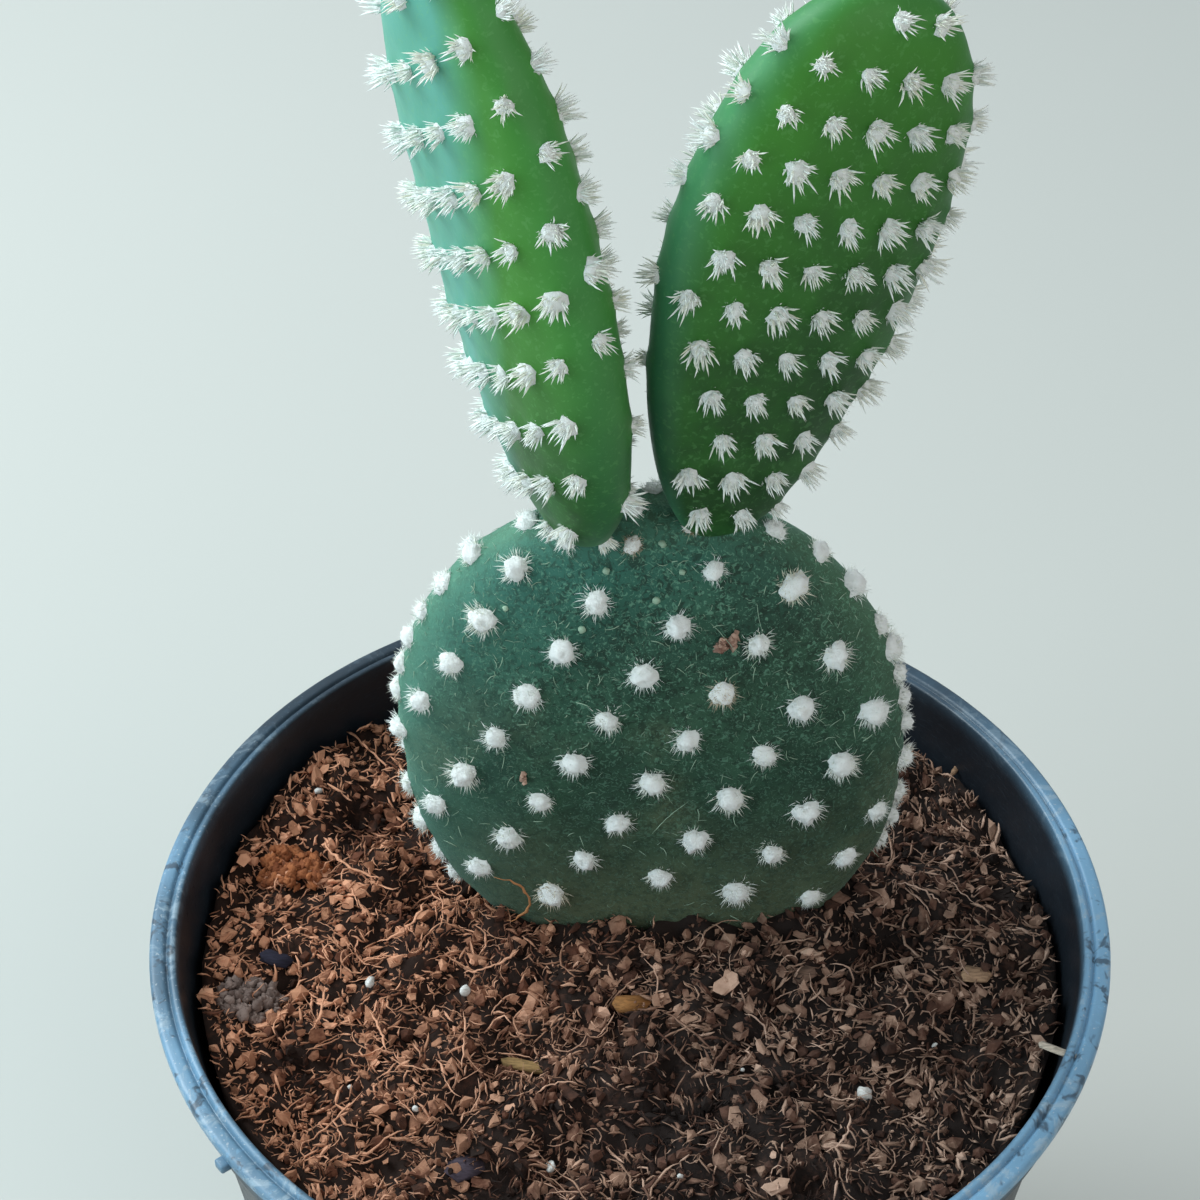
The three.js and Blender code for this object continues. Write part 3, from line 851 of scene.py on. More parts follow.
def down_finish(settings, name):
    """Fine hairs, between the darker and the paler of two colours."""
    finish = Finish(name, Specular_IOR_Level=0.3)
    tone = finish.attribute("tone")
    colour = finish.mix(tone, colour_of(settings.down_dark), colour_of(settings.down_light))
    return finish.surface(colour, 0.7)


def floor_finish(settings):
    finish = Finish("stage_floor", Roughness=0.9, Specular_IOR_Level=0.2)
    pale = colour_of(settings.floor)
    return finish.surface(finish.mix(finish.cloud(6, 2), pale, shaded(pale, 0.97)))


# Settings

def colour_property(name, description, default):
    return bpy.props.FloatVectorProperty(
        name=name, description=description, default=default, min=0, max=1, size=3, subtype="COLOR"
    )


def length_property(name, description, default, most):
    return bpy.props.FloatProperty(
        name=name, description=description, default=default * MM, min=0, max=most * MM, unit="LENGTH",
        precision=5,
    )


def count_property(name, description, default):
    return bpy.props.IntProperty(name=name, description=description, default=default, min=0)


class PotSettings(bpy.types.PropertyGroup):
    """The nursery pot."""

    plastic: colour_property("Plastic", "Colour of the clean plastic", (0.007, 0.008, 0.011))
    # The rim's blue-grey: real dust and scuffs with a painted reflection of the sky.
    dust_and_reflection: colour_property("Dust", "Colour of the dusty, scuffed plastic", (0.15, 0.29, 0.42))
    rim_roll: length_property("Rim roll", "How far the edges of the rim are rounded", 0.35, 1)


class SoilSettings(bpy.types.PropertyGroup):
    """The peat and fibre in the pot."""

    dark: colour_property("Dark brown", "Colour of the damp, shaded peat", (0.014, 0.009, 0.0075))
    mid: colour_property("Middle brown", "Colour of the moist peat", (0.105, 0.05, 0.034))
    light: colour_property("Light brown", "Colour of the dry fibres", (0.36, 0.225, 0.16))
    crumbs: count_property("Crumbs", "Number of loose grains", 5200)
    strands: count_property("Strands", "Number of short curled fibres", 12500)
    fibres: count_property("Fibres", "Number of long fibres", 420)
    chips: count_property("Chips", "Number of bark chips", 130)


class PadSettings(bpy.types.PropertyGroup):
    """The skins of the pads."""

    old_deep: colour_property("Old, deep", "Darkest green of the old pad", (0.014, 0.045, 0.026))
    old_mid: colour_property("Old, middle", "Middle green of the old pad", (0.028, 0.082, 0.046))
    # Teal of the painted sky sheen on the old pad's upper left.
    old_sky_teal: colour_property("Old, teal", "Blue-green of the old pad's upper left", (0.03, 0.17, 0.13))
    old_brown: colour_property("Old, brown", "Olive brown of the old pad's foot", (0.09, 0.112, 0.06))
    old_fleck: colour_property("Old, flecks", "Pale flecks of the old pad", (0.16, 0.36, 0.24))
    young_deep: colour_property("Young, deep", "Darkest green of the ears", (0.007, 0.05, 0.006))
    young_mid: colour_property("Young, middle", "Middle green of the ears", (0.017, 0.1, 0.011))
    young_bright: colour_property("Young, bright", "Yellow-green near the ears' tips", (0.05, 0.24, 0.02))
    # Colour of the painted sheen of the sky light on the ears' left sides.
    young_sky_sheen: colour_property("Young, bloom", "Bloom on the ears' left flanks", (0.1, 0.36, 0.3))


class TuftSettings(bpy.types.PropertyGroup):
    """The tufts of bristles and the fine down."""

    bristle: colour_property("Bristles", "Colour of the clean bristles", (0.93, 0.97, 0.94))
    wool: colour_property("Wool", "Colour of the woolly cushion", (0.93, 0.95, 0.92))
    down_dark: colour_property("Down, dark", "Darker hairs on the old pad's skin", (0.045, 0.13, 0.085))
    down_light: colour_property("Down, light", "Paler hairs on the old pad's skin", (0.38, 0.52, 0.38))
    old_length: length_property("Old bristles", "Length of a bristle on the old pad", 1.45, 5)
    young_length: length_property("Young bristles", "Length of a bristle on the ears", 2.15, 5)
    old_count: count_property("Old count", "Bristles in a tuft of the old pad", 72)
    young_count: count_property("Young count", "Bristles in a tuft of an ear", 36)
    down: count_property("Down", "Number of fine hairs on the old pad", 12000)
    hairs: count_property("Hairs", "Number of longer hairs on the old pad", 1500)


class StageSettings(bpy.types.PropertyGroup):
    """The floor, the lights and the camera."""

    floor: colour_property("Floor", "Colour of the floor", (0.6, 0.61, 0.57))
    key: bpy.props.FloatProperty(
        name="Key light", description="Power of the key light", default=6.5, unit="POWER"
    )
    lens: bpy.props.FloatProperty(
        name="Lens", description="Focal length", default=CAMERA_LENS, unit="CAMERA"
    )


class CactusSettings(bpy.types.PropertyGroup):
    """All that a user would change."""

    pot: bpy.props.PointerProperty(name="Pot", description="The nursery pot", type=PotSettings)
    soil: bpy.props.PointerProperty(name="Soil", description="The soil", type=SoilSettings)
    pads: bpy.props.PointerProperty(name="Pads", description="The skins", type=PadSettings)
    tufts: bpy.props.PointerProperty(name="Tufts", description="The tufts", type=TuftSettings)
    stage: bpy.props.PointerProperty(name="Stage", description="The stage", type=StageSettings)


# Pot

def pot_outline(roll):
    """The pot's section from the middle of its underside, over the rim, to the middle of its floor."""
    top = POT_HEIGHT
    rim_foot = top - RIM_DEPTH
    inner = RIM_RADIUS - RIM_WIDTH
    skirt = RIM_RADIUS - 1.3
    ring = FOOT_RADIUS - FOOT_RING
    foot = [(0, FOOT_RECESS, 0), (ring, FOOT_RECESS, 0.3), (ring + 0.6, 0, 0.2), (FOOT_RADIUS - 0.4, 0, 0.5)]
    outside = [
        (FOOT_RADIUS + 0.15, 1.1, 0.5), (wall_radius(rim_foot), rim_foot, 0.5),
        (skirt - 0.2, rim_foot + 0.5, 0.45), (skirt, top - 2.2, 0.3),
    ]
    flange = [
        (RIM_RADIUS - 0.1, top - 1.8, roll), (RIM_RADIUS - 0.05, top - 0.35, 0.6),
        (inner + 1.3, top - 0.25, 0.3), (inner + 0.95, top - 0.75, 0.25),
        (inner + 0.6, top - 0.05, 0.3), (inner - 0.1, top - 0.05, 0.3),
    ]
    inside = [
        (inner - RIM_BEAD, top - 1.5, 0.3), (wall_radius(rim_foot) - WALL, rim_foot - 1, 0.5),
        (wall_radius(FLOOR_TOP) - WALL - 0.4, FLOOR_TOP + 0.2, 2.2), (0, FLOOR_TOP, 0),
    ]
    return rounded_outline(foot + outside + flange + inside)


def rounded_outline(corners):
    """Points of an outline whose corners (x, z, radius) are rounded by an arc-like curve."""
    outline = []
    for index, (x, z, radius) in enumerate(corners):
        here = Vector((x, z))
        if radius == 0 or index in (0, len(corners) - 1):
            outline.append(here)
            continue
        before = Vector(corners[index - 1][:2])
        after = Vector(corners[index + 1][:2])
        reach = min(radius, (before - here).length * 0.45, (after - here).length * 0.45)
        start = here + (before - here).normalized() * reach
        end = here + (after - here).normalized() * reach
        for step in range(CORNER_STEPS + 1):
            share = step / CORNER_STEPS
            outline.append(start.lerp(here, share).lerp(here.lerp(end, share), share))
    return [point[:] for point in outline]


def drill_holes(piece):
    """Cuts the drain holes through the pot's floor."""
    bm = bmesh.new()
    for index in range(DRAIN_HOLES):
        angle = index / DRAIN_HOLES * TURN
        place = Vector((DRAIN_CIRCLE * math.cos(angle), DRAIN_CIRCLE * math.sin(angle), 0)) * MM
        bmesh.ops.create_cone(
            bm, cap_ends=True, segments=DRAIN_STEPS, radius1=DRAIN_RADIUS * MM, radius2=DRAIN_RADIUS * MM,
            depth=4 * FLOOR_TOP * MM, matrix=Matrix.Translation(place),
        )
    drills = bpy.data.objects.new("drills", mesh_of(bm, "drills"))
    bpy.context.scene.collection.objects.link(drills)
    cut = piece.modifiers.new("Drain holes", "BOOLEAN")
    cut.operation = "DIFFERENCE"
    cut.object = drills
    seen = piece.evaluated_get(bpy.context.evaluated_depsgraph_get())
    cut_mesh = bpy.data.meshes.new_from_object(seen)
    piece.modifiers.clear()
    piece.data = cut_mesh
    piece.data.name = piece.name
    bpy.data.objects.remove(drills)


def add_nub(pot_finish):
    """The small moulding mark on the outside of the rim."""
    bm = bmesh.new()
    bmesh.ops.create_cube(bm, size=1)
    bmesh.ops.bevel(
        bm, geom=bm.edges, offset=NUB_BEVEL, offset_type="OFFSET", segments=2, profile=0.5, affect="EDGES",
        material=-1,
    )
    outward = np.array(level(NUB_HEADING))
    place = np.append(outward[:2] * (RIM_RADIUS + NUB_SIZE[0] * 0.1), POT_HEIGHT - NUB_DROP)
    swarm = Swarm()
    swarm.add_one(Shape(bm), turn_of((0, 0, 1), outward), NUB_SIZE, place)
    new_piece("rim_nub", swarm.mesh("nub"), pot_finish)


class CACTUS_OT_pot(bpy.types.Operator):
    """Turn the nursery pot with its flanged rim, and drill its drain holes"""

    bl_idname = "potted_cactus.pot"
    bl_label = "Pot"

    def execute(self, context):
        settings = context.scene.potted_cactus.pot
        bm = turned(pot_outline(settings.rim_roll / MM), POT_STEPS)
        pot = new_piece("nursery_pot", mesh_of(bm, "pot"), plastic_finish(settings), ["pot"])
        drill_holes(pot)
        add_nub(pot.data.materials[0])
        return {"FINISHED"}


# Soil

def ripple(place, closeness, shift):
    """A smooth random value from -1 to 1: the higher closeness, the closer together its hills."""
    return noise.noise(place * closeness + Vector(shift))


def in_hollow(x, y):
    """How deep a place lies in the hollows, from 0 outside them to 1 in the middle of one."""
    return sum(math.exp(-((x - a) ** 2 + (y - b) ** 2) / HOLLOW_REACH**2) for a, b in HOLLOWS)


def rough_soil(x, y):
    """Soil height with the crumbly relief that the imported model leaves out, in millimetres."""
    place = Vector((x, y, 0))
    clods = ripple(place, 0.13, (3, 8, 2)) + 0.9 * ripple(place, 0.36, (1, 4, 9))
    crumbs = ripple(place, 0.9, (5, 1, 7))
    off_pad = math.hypot((x - COLLAR_PLACE[0]) / COLLAR_SIZE[0], (y - COLLAR_PLACE[1]) / COLLAR_SIZE[1]) - 1
    collar = math.exp(-((off_pad * COLLAR_SIZE[1] / COLLAR_REACH) ** 2))
    collar *= 0.7 + 1.2 * ripple(place, 0.35, (6, 6, 1))
    bank = max(0.0, math.hypot(x, y) - BANK_RADIUS)
    relief = soil_height(x, y) + CLOD_HEIGHT * clods + CRUMB_HEIGHT * crumbs + COLLAR_HEIGHT * collar
    return relief - HOLLOW_DEPTH * in_hollow(x, y) + BANK_SLOPE * bank - ROUGH_DROP


def soil_tones(draw, places, middle, spread):
    """Tones from damp black to dry straw: in patches, lighter at the left than at the front and right, darker
    in a patch at the front, and with painted shade in the hollows.
    """
    patches = np.array([noise.noise(Vector((x * 0.17, y * 0.17, 3))) for x, y, _ in places])
    small = np.array([noise.noise(Vector((x * 0.5, y * 0.5, 9))) for x, y, _ in places])
    across = places[:, 0] / 45
    # Lighter towards the left and a little towards the right, and darker in a patch at the front.
    dry = np.clip(-across, 0, 1) * 0.4 + np.clip(across, 0, 1) * 0.14
    damp = np.exp(-((places[:, 0] - 2) ** 2 / 600 + (places[:, 1] + 24) ** 2 / 300)) * 0.08
    # Painted shade: tones are darker in the hollows.
    shade = np.array([in_hollow(x, y) for x, y, _ in places])
    tones = middle + spread * draw.normal(size=len(places)) + 0.26 * patches + 0.2 * small
    return np.clip(tones + dry - damp - 0.4 * shade, 0, 1)


def inside_pad(x, y, grow):
    """True where the old pad stands in the soil."""
    pad = PADS["base_pad"]
    t = np.array([(SOIL_LEVEL - pad.foot[2]) / pad.length])
    centre, _, _ = pad.frame(t)
    width = pad.half_width * pad.profile(t, 0)[0] + grow
    depth = pad.half_thickness * pad.profile(t, THICKNESS_CURVE)[0] + grow
    return ((x - centre[0, 0]) / width) ** 2 + ((y - centre[0, 1]) / depth) ** 2 < 1


def turn_of(along, towards):
    """The turn that carries +Z to along and +X as near as it can to towards."""
    z = unit(np.array(along, float))
    x = np.array(towards, float)
    x = unit(x - z * (x @ z))
    return np.stack([x, np.cross(z, x), z], axis=1)


def level(heading):
    """A level direction by its heading in degrees."""
    return (math.cos(math.radians(heading)), math.sin(math.radians(heading)), 0.0)


def scatter(draw, count, reach, margin):
    """Random places on the soil, clear of the pad, as (n, 3) millimetres."""
    places = []
    while len(places) < count:
        distance = math.sqrt(draw.random()) * reach
        heading = draw.random() * TURN
        x, y = distance * math.cos(heading), distance * math.sin(heading)
        if not inside_pad(x, y, margin):
            places.append((x, y, rough_soil(x, y)))
    return np.array(places)


def tumble(draw, count):
    """Turns in every direction."""
    directions = draw.normal(size=(count, 3))
    return facing(directions, draw.uniform(0, TURN, count))


def lying(draw, headings, tilt):
    """Turns that lay +Z roughly level along each heading, tilted by about tilt radians."""
    tilts = draw.normal(0, tilt, len(headings))
    forward = np.cos(tilts)
    directions = np.stack([np.cos(headings) * forward, np.sin(headings) * forward, np.sin(tilts)], axis=1)
    return facing(directions, draw.uniform(0, TURN, len(headings)))


def combed(draw, places):
    """Headings that drift over the soil, so that neighbours nearly agree."""
    x, y = places[:, 0], places[:, 1]
    headings = 2.2 * np.sin(x / 5.5 + 1.3) + 1.9 * np.sin(y / 4.7 - 0.7) + 1.5 * np.sin((x + y) / 8)
    return headings + draw.normal(0, 0.5, len(places))


def add_mixed(swarm, shapes, turns, sizes, places, tones):
    """Deals the places out over the shapes in turn."""
    for index, shape in enumerate(shapes):
        pick = slice(index, None, len(shapes))
        swarm.add(shape, turns[pick], sizes[pick], places[pick], tones[pick])


class CACTUS_OT_soil(bpy.types.Operator):
    """Spin the bed of soil and raise its crumbly surface"""

    bl_idname = "potted_cactus.soil"
    bl_label = "Soil"

    def execute(self, context):
        settings = context.scene.potted_cactus.soil
        edge = soil_edge(SOIL_LEVEL - SOIL_CORNER)
        bottom = FLOOR_TOP + CLEARANCE
        outline = [(edge * index / BED_RINGS, SOIL_LEVEL) for index in range(BED_RINGS + 1)]
        outline += [(soil_edge(z), z) for z in (70.0, 50.0, 30.0, bottom + SOIL_CORNER)]
        outline += [(soil_edge(bottom) - SOIL_CORNER / 2, bottom), (0, bottom)]
        bm = turned(outline, BED_STEPS)
        for vert in bm.verts:
            if vert.co.z > (SOIL_LEVEL - 0.01) * MM:
                vert.co.z = rough_soil(vert.co.x / MM, vert.co.y / MM) * MM
        mesh = mesh_of(bm, "soil")
        keep_values(mesh, "tone", np.full(len(mesh.vertices), BED_TONE))
        new_piece("soil_bed", mesh, soil_finish(settings, "soil_bed", -0.12), ["soil"])
        return {"FINISHED"}


# How far from the pot's middle each kind of litter lies, and its clearance from the old pad
CRUMB_BED = (47.0, 0.4)
STRAND_BED = (47.1, 0.6)
FIBRE_BED = (43.5, 1.5)
CHIP_BED = (44.0, 2.0)
# The girth and the bend of each kind of strand
STRANDS = (
    (0.11, 0.2), (0.06, 1.2), (0.13, 0.5), (0.065, 2.6), (0.09, 0.1), (0.06, 1.8), (0.1, 0.8), (0.12, 0.4),
)
FIBRE_TURNS = (0.3, 0.8, 1.6, 2.4, 3.6)
FIBRE_GIRTH = 0.022


class CACTUS_OT_litter(bpy.types.Operator):
    """Strew crumbs, curled strands, long fibres and bark chips over the soil"""

    bl_idname = "potted_cactus.litter"
    bl_label = "Crumbs and fibres"

    def execute(self, context):
        settings = context.scene.potted_cactus.soil
        self.crumbs(settings)
        self.strands(settings)
        self.fibres(settings)
        self.chips(settings)
        return {"FINISHED"}

    def strew(self, number, count, bed):
        """A random source for one kind of litter, and its places."""
        places = scatter(random.Random(SOIL_SEED + number), count, *bed)
        return np.random.default_rng(SOIL_SEED + number), places

    def crumbs(self, settings):
        count = settings.crumbs
        draw, places = self.strew(0, count, CRUMB_BED)
        sizes = (0.2 + 0.75 * draw.random(count) ** 3)[:, None] * draw.uniform(0.6, 1.4, (count, 3))
        places[:, 2] += draw.uniform(-0.2, 0.7, count)
        tones = soil_tones(draw, places, 0.38, 0.2)
        swarm = Swarm()
        shapes = [crumb_shape(1, seed, 0.9) for seed in range(5)]
        add_mixed(swarm, shapes, tumble(draw, count), sizes * MM, places * MM, tones)
        finish = soil_finish(settings, "soil_crumbs", 0.0)
        new_piece("soil_crumbs", swarm.mesh("crumbs"), finish, smooth=False)

    def strands(self, settings):
        count = settings.strands
        draw, places = self.strew(1, count, STRAND_BED)
        sizes = 0.8 + 1.9 * draw.random(count) ** 2.4
        places[:, 2] += draw.uniform(0.0, 1.1, count)
        tones = soil_tones(draw, places, 0.5, 0.24)
        shapes = [strand_shape(3, 3, girth, turn, seed) for seed, (girth, turn) in enumerate(STRANDS)]
        turns = lying(draw, combed(draw, places), 0.36)
        finish = soil_finish(settings, "soil_strands", 0.02)
        half = count // 2
        for letter, part in (("a", slice(half)), ("b", slice(half, None))):
            swarm = Swarm()
            add_mixed(swarm, shapes, turns[part], sizes[part] * MM, places[part] * MM, tones[part])
            new_piece(f"soil_strands_{letter}", swarm.mesh("strands"), finish)

    def fibres(self, settings):
        count = settings.fibres
        draw, places = self.strew(2, count, FIBRE_BED)
        sizes = 3.0 + 5.5 * draw.random(count) ** 2
        places[:, 2] += draw.uniform(0.7, 1.3, count)
        tones = soil_tones(draw, places, 0.72, 0.16)
        shapes = [strand_shape(3, 10, FIBRE_GIRTH, turn, 20 + seed) for seed, turn in enumerate(FIBRE_TURNS)]
        swarm = Swarm()
        turns = lying(draw, draw.uniform(0, TURN, count), 0.09)
        add_mixed(swarm, shapes, turns, sizes * MM, places * MM, tones)
        new_piece("soil_fibres", swarm.mesh("fibres"), soil_finish(settings, "soil_fibres", 0.08))

    def chips(self, settings):
        count = settings.chips
        draw, places = self.strew(3, count, CHIP_BED)
        places[:, 2] += draw.uniform(0.2, 0.7, count)
        sizes = 0.5 + 1.1 * draw.random(count) ** 2
        headings = draw.uniform(0, TURN, count)
        up = np.stack([draw.normal(0, 0.3, count), draw.normal(0, 0.3, count), np.ones(count)], axis=1)
        swarm = Swarm()
        shapes = [chip_shape(seed) for seed in range(5)]
        tones = soil_tones(draw, places, 0.52, 0.2)
        add_mixed(swarm, shapes, facing(up, headings), sizes * MM, places * MM, tones)
        finish = soil_finish(settings, "bark_chips", 0.05)
        new_piece("bark_chips", swarm.mesh("chips"), finish, smooth=False)


# The pieces that stand out in the soil. A chip has its place, half its lengths, its heading in degrees, its
# lift above the soil and its colour.
CHIP_FINDS = (
    {"place": (0.0, -7.8), "size": (1.9, 1.9, 1.5), "heading": 5, "lift": 0.9,
     "colour": (0.36, 0.16, 0.05)},
    {"place": (-10.8, -14.7), "size": (3.0, 1.3, 1.5), "heading": -8, "lift": 0.9,
     "colour": (0.33, 0.2, 0.08)},
    {"place": (38.1, -3.0), "size": (1.7, 1.7, 1.4), "heading": 0, "lift": 1.0,
     "colour": (0.45, 0.28, 0.17)},
    {"place": (-17.4, -28.5), "size": (2.1, 2.4, 1.4), "heading": 30, "lift": 0.8,
     "colour": (0.07, 0.052, 0.07)},
    {"place": (-39.3, 0.3), "size": (1.8, 1.6, 1.4), "heading": -15, "lift": 1.1,
     "colour": (0.02, 0.018, 0.035)},
    {"place": (39.3, 29.4), "size": (2.3, 0.6, 0.9), "heading": 60, "lift": 1.2,
     "colour": (0.33, 0.2, 0.12)},
    {"place": (45.4, -19.0), "size": (2.6, 0.8, 0.9), "heading": -20, "lift": 4.6,
     "colour": (0.6, 0.52, 0.42)},
    {"place": (19.0, -4.5), "size": (1.5, 1.5, 1.2), "heading": 40, "lift": 0.8,
     "colour": (0.2, 0.12, 0.085)},
)
GRAIN_FINDS = (
    (-28.5, -4.8, 0.62), (-18.0, -6.3, 0.55), (24.8, -19.6, 0.75), (-22.8, -22.0, 0.3), (-8.5, -27.9, 0.6),
    (-36.0, 24.0, 0.5), (12.0, -16.0, 0.25), (33.0, -12.0, 0.28), (-30.0, -18.0, 0.25), (5.0, -30.0, 0.3),
)
CLUMP_FINDS = (
    {"name": "rust_clump", "place": (-38.0, 13.0), "reach": 3.4, "count": 120, "dark": (0.12, 0.03, 0.012),
     "light": (0.42, 0.15, 0.06)},
    {"name": "grey_clump", "place": (-41.6, -5.5), "reach": 3.2, "count": 90, "dark": (0.07, 0.045, 0.038),
     "light": (0.3, 0.22, 0.19)},
)
# A long fibre has its place, length, heading in degrees and the turn of its arc in radians.
FIBRE_FINDS = (
    (-31.7, 12.2, 9.0, -65, 0.9), (-27.0, -12.5, 6.0, 95, 0.5), (-33.8, -8.3, 7.0, 60, 0.7),
    (-25.0, 3.0, 8.0, 15, 1.2), (-15.0, -2.5, 7.0, 5, 0.8), (33.0, 8.0, 6.0, 120, 0.9),
    (22.0, -26.0, 6.0, 30, 1.1), (-8.0, -20.0, 5.0, 160, 1.3),
)


class CACTUS_OT_finds(bpy.types.Operator):
    """Place the chips, pale grains, clumps and long fibres that stand out in the soil"""

    bl_idname = "potted_cactus.finds"
    bl_label = "Standing-out pieces"

    def execute(self, context):
        settings = context.scene.potted_cactus.soil
        self.chips()
        self.grains()
        for clump in CLUMP_FINDS:
            self.clump(**clump)
        self.fibres(settings)
        return {"FINISHED"}

    def chips(self):
        for number, find in enumerate(CHIP_FINDS):
            x, y = find["place"]
            place = (x, y, rough_soil(x, y) + find["lift"])
            turn = turn_of((0.1, -0.15, 1), level(find["heading"]))
            swarm = Swarm()
            swarm.add_one(chip_shape(number), turn, find["size"], place)
            finish = chip_finish(f"chip_{number}", find["colour"], shaded(find["colour"], 0.45))
            new_piece(f"chip_{number}", swarm.mesh("chip"), finish)

    def grains(self):
        draw = np.random.default_rng(SOIL_SEED + 5)
        x, y, size = np.array(GRAIN_FINDS).T
        z = np.array([rough_soil(*place) for place in zip(x, y)]) + 0.9 + size * 0.4
        places = np.stack([x, y, z], axis=1)
        swarm = Swarm()
        sizes = size[:, None] * draw.uniform(0.7, 1.3, (len(x), 3))
        turns = tumble(draw, len(x))
        swarm.add(crumb_shape(2, 9, 0.6), turns, sizes * MM, places * MM, draw.random(len(x)))
        finish = chip_finish("pale_grains", PALE_GRAIN, GRAIN_STREAK)
        new_piece("pale_grains", swarm.mesh("grains"), finish)

    def clump(self, name, place, reach, count, dark, light):
        draw = np.random.default_rng(SOIL_SEED + count)
        heading = draw.uniform(0, TURN, count)
        distance = reach * np.sqrt(draw.random(count))
        x = place[0] + distance * np.cos(heading) * 1.1
        y = place[1] + distance * np.sin(heading)
        heap = 0.4 * reach * np.sqrt(np.maximum(0, 1 - (distance / reach) ** 2))
        z = np.array([rough_soil(*spot) for spot in zip(x, y)]) + 0.4 + heap * draw.uniform(0.6, 1, count)
        places = np.stack([x, y, z], axis=1)
        sizes = draw.uniform(0.25, 0.8, (count, 3))
        tones = draw.random(count)
        swarm = Swarm()
        shapes = [crumb_shape(2, seed, 0.9) for seed in range(3)]
        add_mixed(swarm, shapes, tumble(draw, count), sizes * MM, places * MM, tones)
        finish = Finish(name, Specular_IOR_Level=0.2)
        tone = finish.attribute("tone") * 0.7 + 0.4 * finish.cloud(900, 3, 0.6)
        finish.surface(finish.mix(tone, dark, light), 0.95, finish.cloud(2600, 3, 0.6), 0.0002, 0.8)
        new_piece(name, swarm.mesh("clump"), finish.material)

    def fibres(self, settings):
        swarm = Swarm()
        for number, (x, y, length, heading, turn) in enumerate(FIBRE_FINDS):
            shape = strand_shape(4, 14, 0.026, turn, 40 + number)
            place = (x, y, rough_soil(x, y) + 1.5)
            swarm.add_one(shape, turn_of(level(heading), level(heading + 90)), length, place, 0.93)
        new_piece("pale_fibres", swarm.mesh("fibres"), soil_finish(settings, "pale_fibres", 0.1))


# Pads

SKIN_AROUND = 144
SKIN_ALONG = 100
# How high a tubercle stands and how far it reaches, as shares of its tuft's radius
TUBERCLE = 0.17
TUBERCLE_REACH = 0.7
SWELL = 0.22
POLE_SHARE = 0.004
SKYWARD = (-1.0, -0.25, 0.25)


def skin_mesh(pad, tufts):
    """The pad's skin, a ball whose poles are drawn to foot and tip, raised a little under every tuft."""
    bm = bmesh.new()
    bmesh.ops.create_uvsphere(bm, u_segments=SKIN_AROUND, v_segments=SKIN_ALONG, radius=1)
    ball = np.array([vert.co[:] for vert in bm.verts])
    t = np.clip((1 + ball[:, 2]) / 2, 0, 1)
    angle = np.arctan2(ball[:, 0], -ball[:, 1])
    points = pad.point(t, angle)
    normals = pad.normal(np.clip(t, POLE_SHARE, 1 - POLE_SHARE), angle)
    raised = np.zeros(len(points))
    for place, _, share, _, _ in tufts:
        distance = np.linalg.norm(points - place, axis=1)
        reach = pad.tuft_radius * TUBERCLE_REACH
        raised += TUBERCLE * pad.tuft_radius * share * np.exp(-((distance / reach) ** 2))
    swell = np.array([noise.noise(Vector(point) * 0.11) for point in points])
    points = points + normals * (raised + SWELL * swell * pad.profile(t, 0))[:, None]
    for vert, point in zip(bm.verts, points):
        vert.co = Vector(point) * MM
    mesh = mesh_of(bm, "skin")
    # A painted sheen of the cool sky light, on the sides that face SKYWARD.
    sky_sheen_mask = np.clip((normals @ unit(np.array(SKYWARD)) - 0.35) / 0.5, 0, 1)
    sky_sheen_edge = lerp(pad.bloom[0], pad.bloom[1], t)
    sky_sheen_mask *= np.clip((sky_sheen_edge - np.sin(angle)) / 0.5 + 0.5, 0, 1)
    keep_values(mesh, "sky_sheen_mask", sky_sheen_mask)
    margin = np.abs(np.sin(angle)) ** 8 * 0.85 + np.clip((t - 0.93) / 0.07, 0, 1) * 0.5
    keep_values(mesh, "margin", np.clip(margin, 0, 1))
    return mesh


def neighbours_of(name):
    return [pad for other, pad in PADS.items() if other != name]


def tuft_at(pad, t, angle, share):
    """One tuft, written as Pad.tufts writes it."""
    return pad.point(t, angle)[0], pad.normal(min(t, HIGHEST_NORMAL), angle)[0], share, t, angle


def extra_tufts(pad, tufts):
    """The crown tufts, and the tufts of both edges that find room between the others."""
    found = [tuft_at(pad, *crown) for crown in CROWN_TUFTS]
    for step in range(EDGE_STEPS):
        t = lerp(LOWEST_EDGE_TUFT, HIGHEST_EDGE_TUFT, step / (EDGE_STEPS - 1))
        for angle in (-EDGE_ANGLE, EDGE_ANGLE):
            tuft = tuft_at(pad, t, angle, EDGE_TUFT_SIZE)
            if min(np.linalg.norm(tuft[0] - other[0]) for other in tufts + found) > EDGE_TUFT_ROOM:
                found.append(tuft)
    return found


TUFTS = {name: pad.tufts(neighbours_of(name)) for name, pad in PADS.items()}
TUFTS["base_pad"] += extra_tufts(PADS["base_pad"], TUFTS["base_pad"])


class CACTUS_OT_pads(bpy.types.Operator):
    """Shape the skins of the old pad and of the two ears"""

    bl_idname = "potted_cactus.pads"
    bl_label = "Pads"

    def execute(self, context):
        settings = context.scene.potted_cactus.pads
        finishes = {"base_pad": old_skin_finish(settings)}
        for name, looks in YOUNG_LOOKS.items():
            finishes[name] = young_skin_finish(settings, f"{name}_skin", *looks)
        for name, pad in PADS.items():
            new_piece(f"{name}_skin", skin_mesh(pad, TUFTS[name]), finishes[name], [name])
        return {"FINISHED"}


# How wide and high the woolly cushions are, and how finely they are made
WOOL_SIZE = {"base_pad": (1.42, 1.5), "right_ear": (1.08, 0.95), "left_ear": (1.08, 0.95)}
WOOL_DETAIL = {"base_pad": 3, "right_ear": 2, "left_ear": 2}
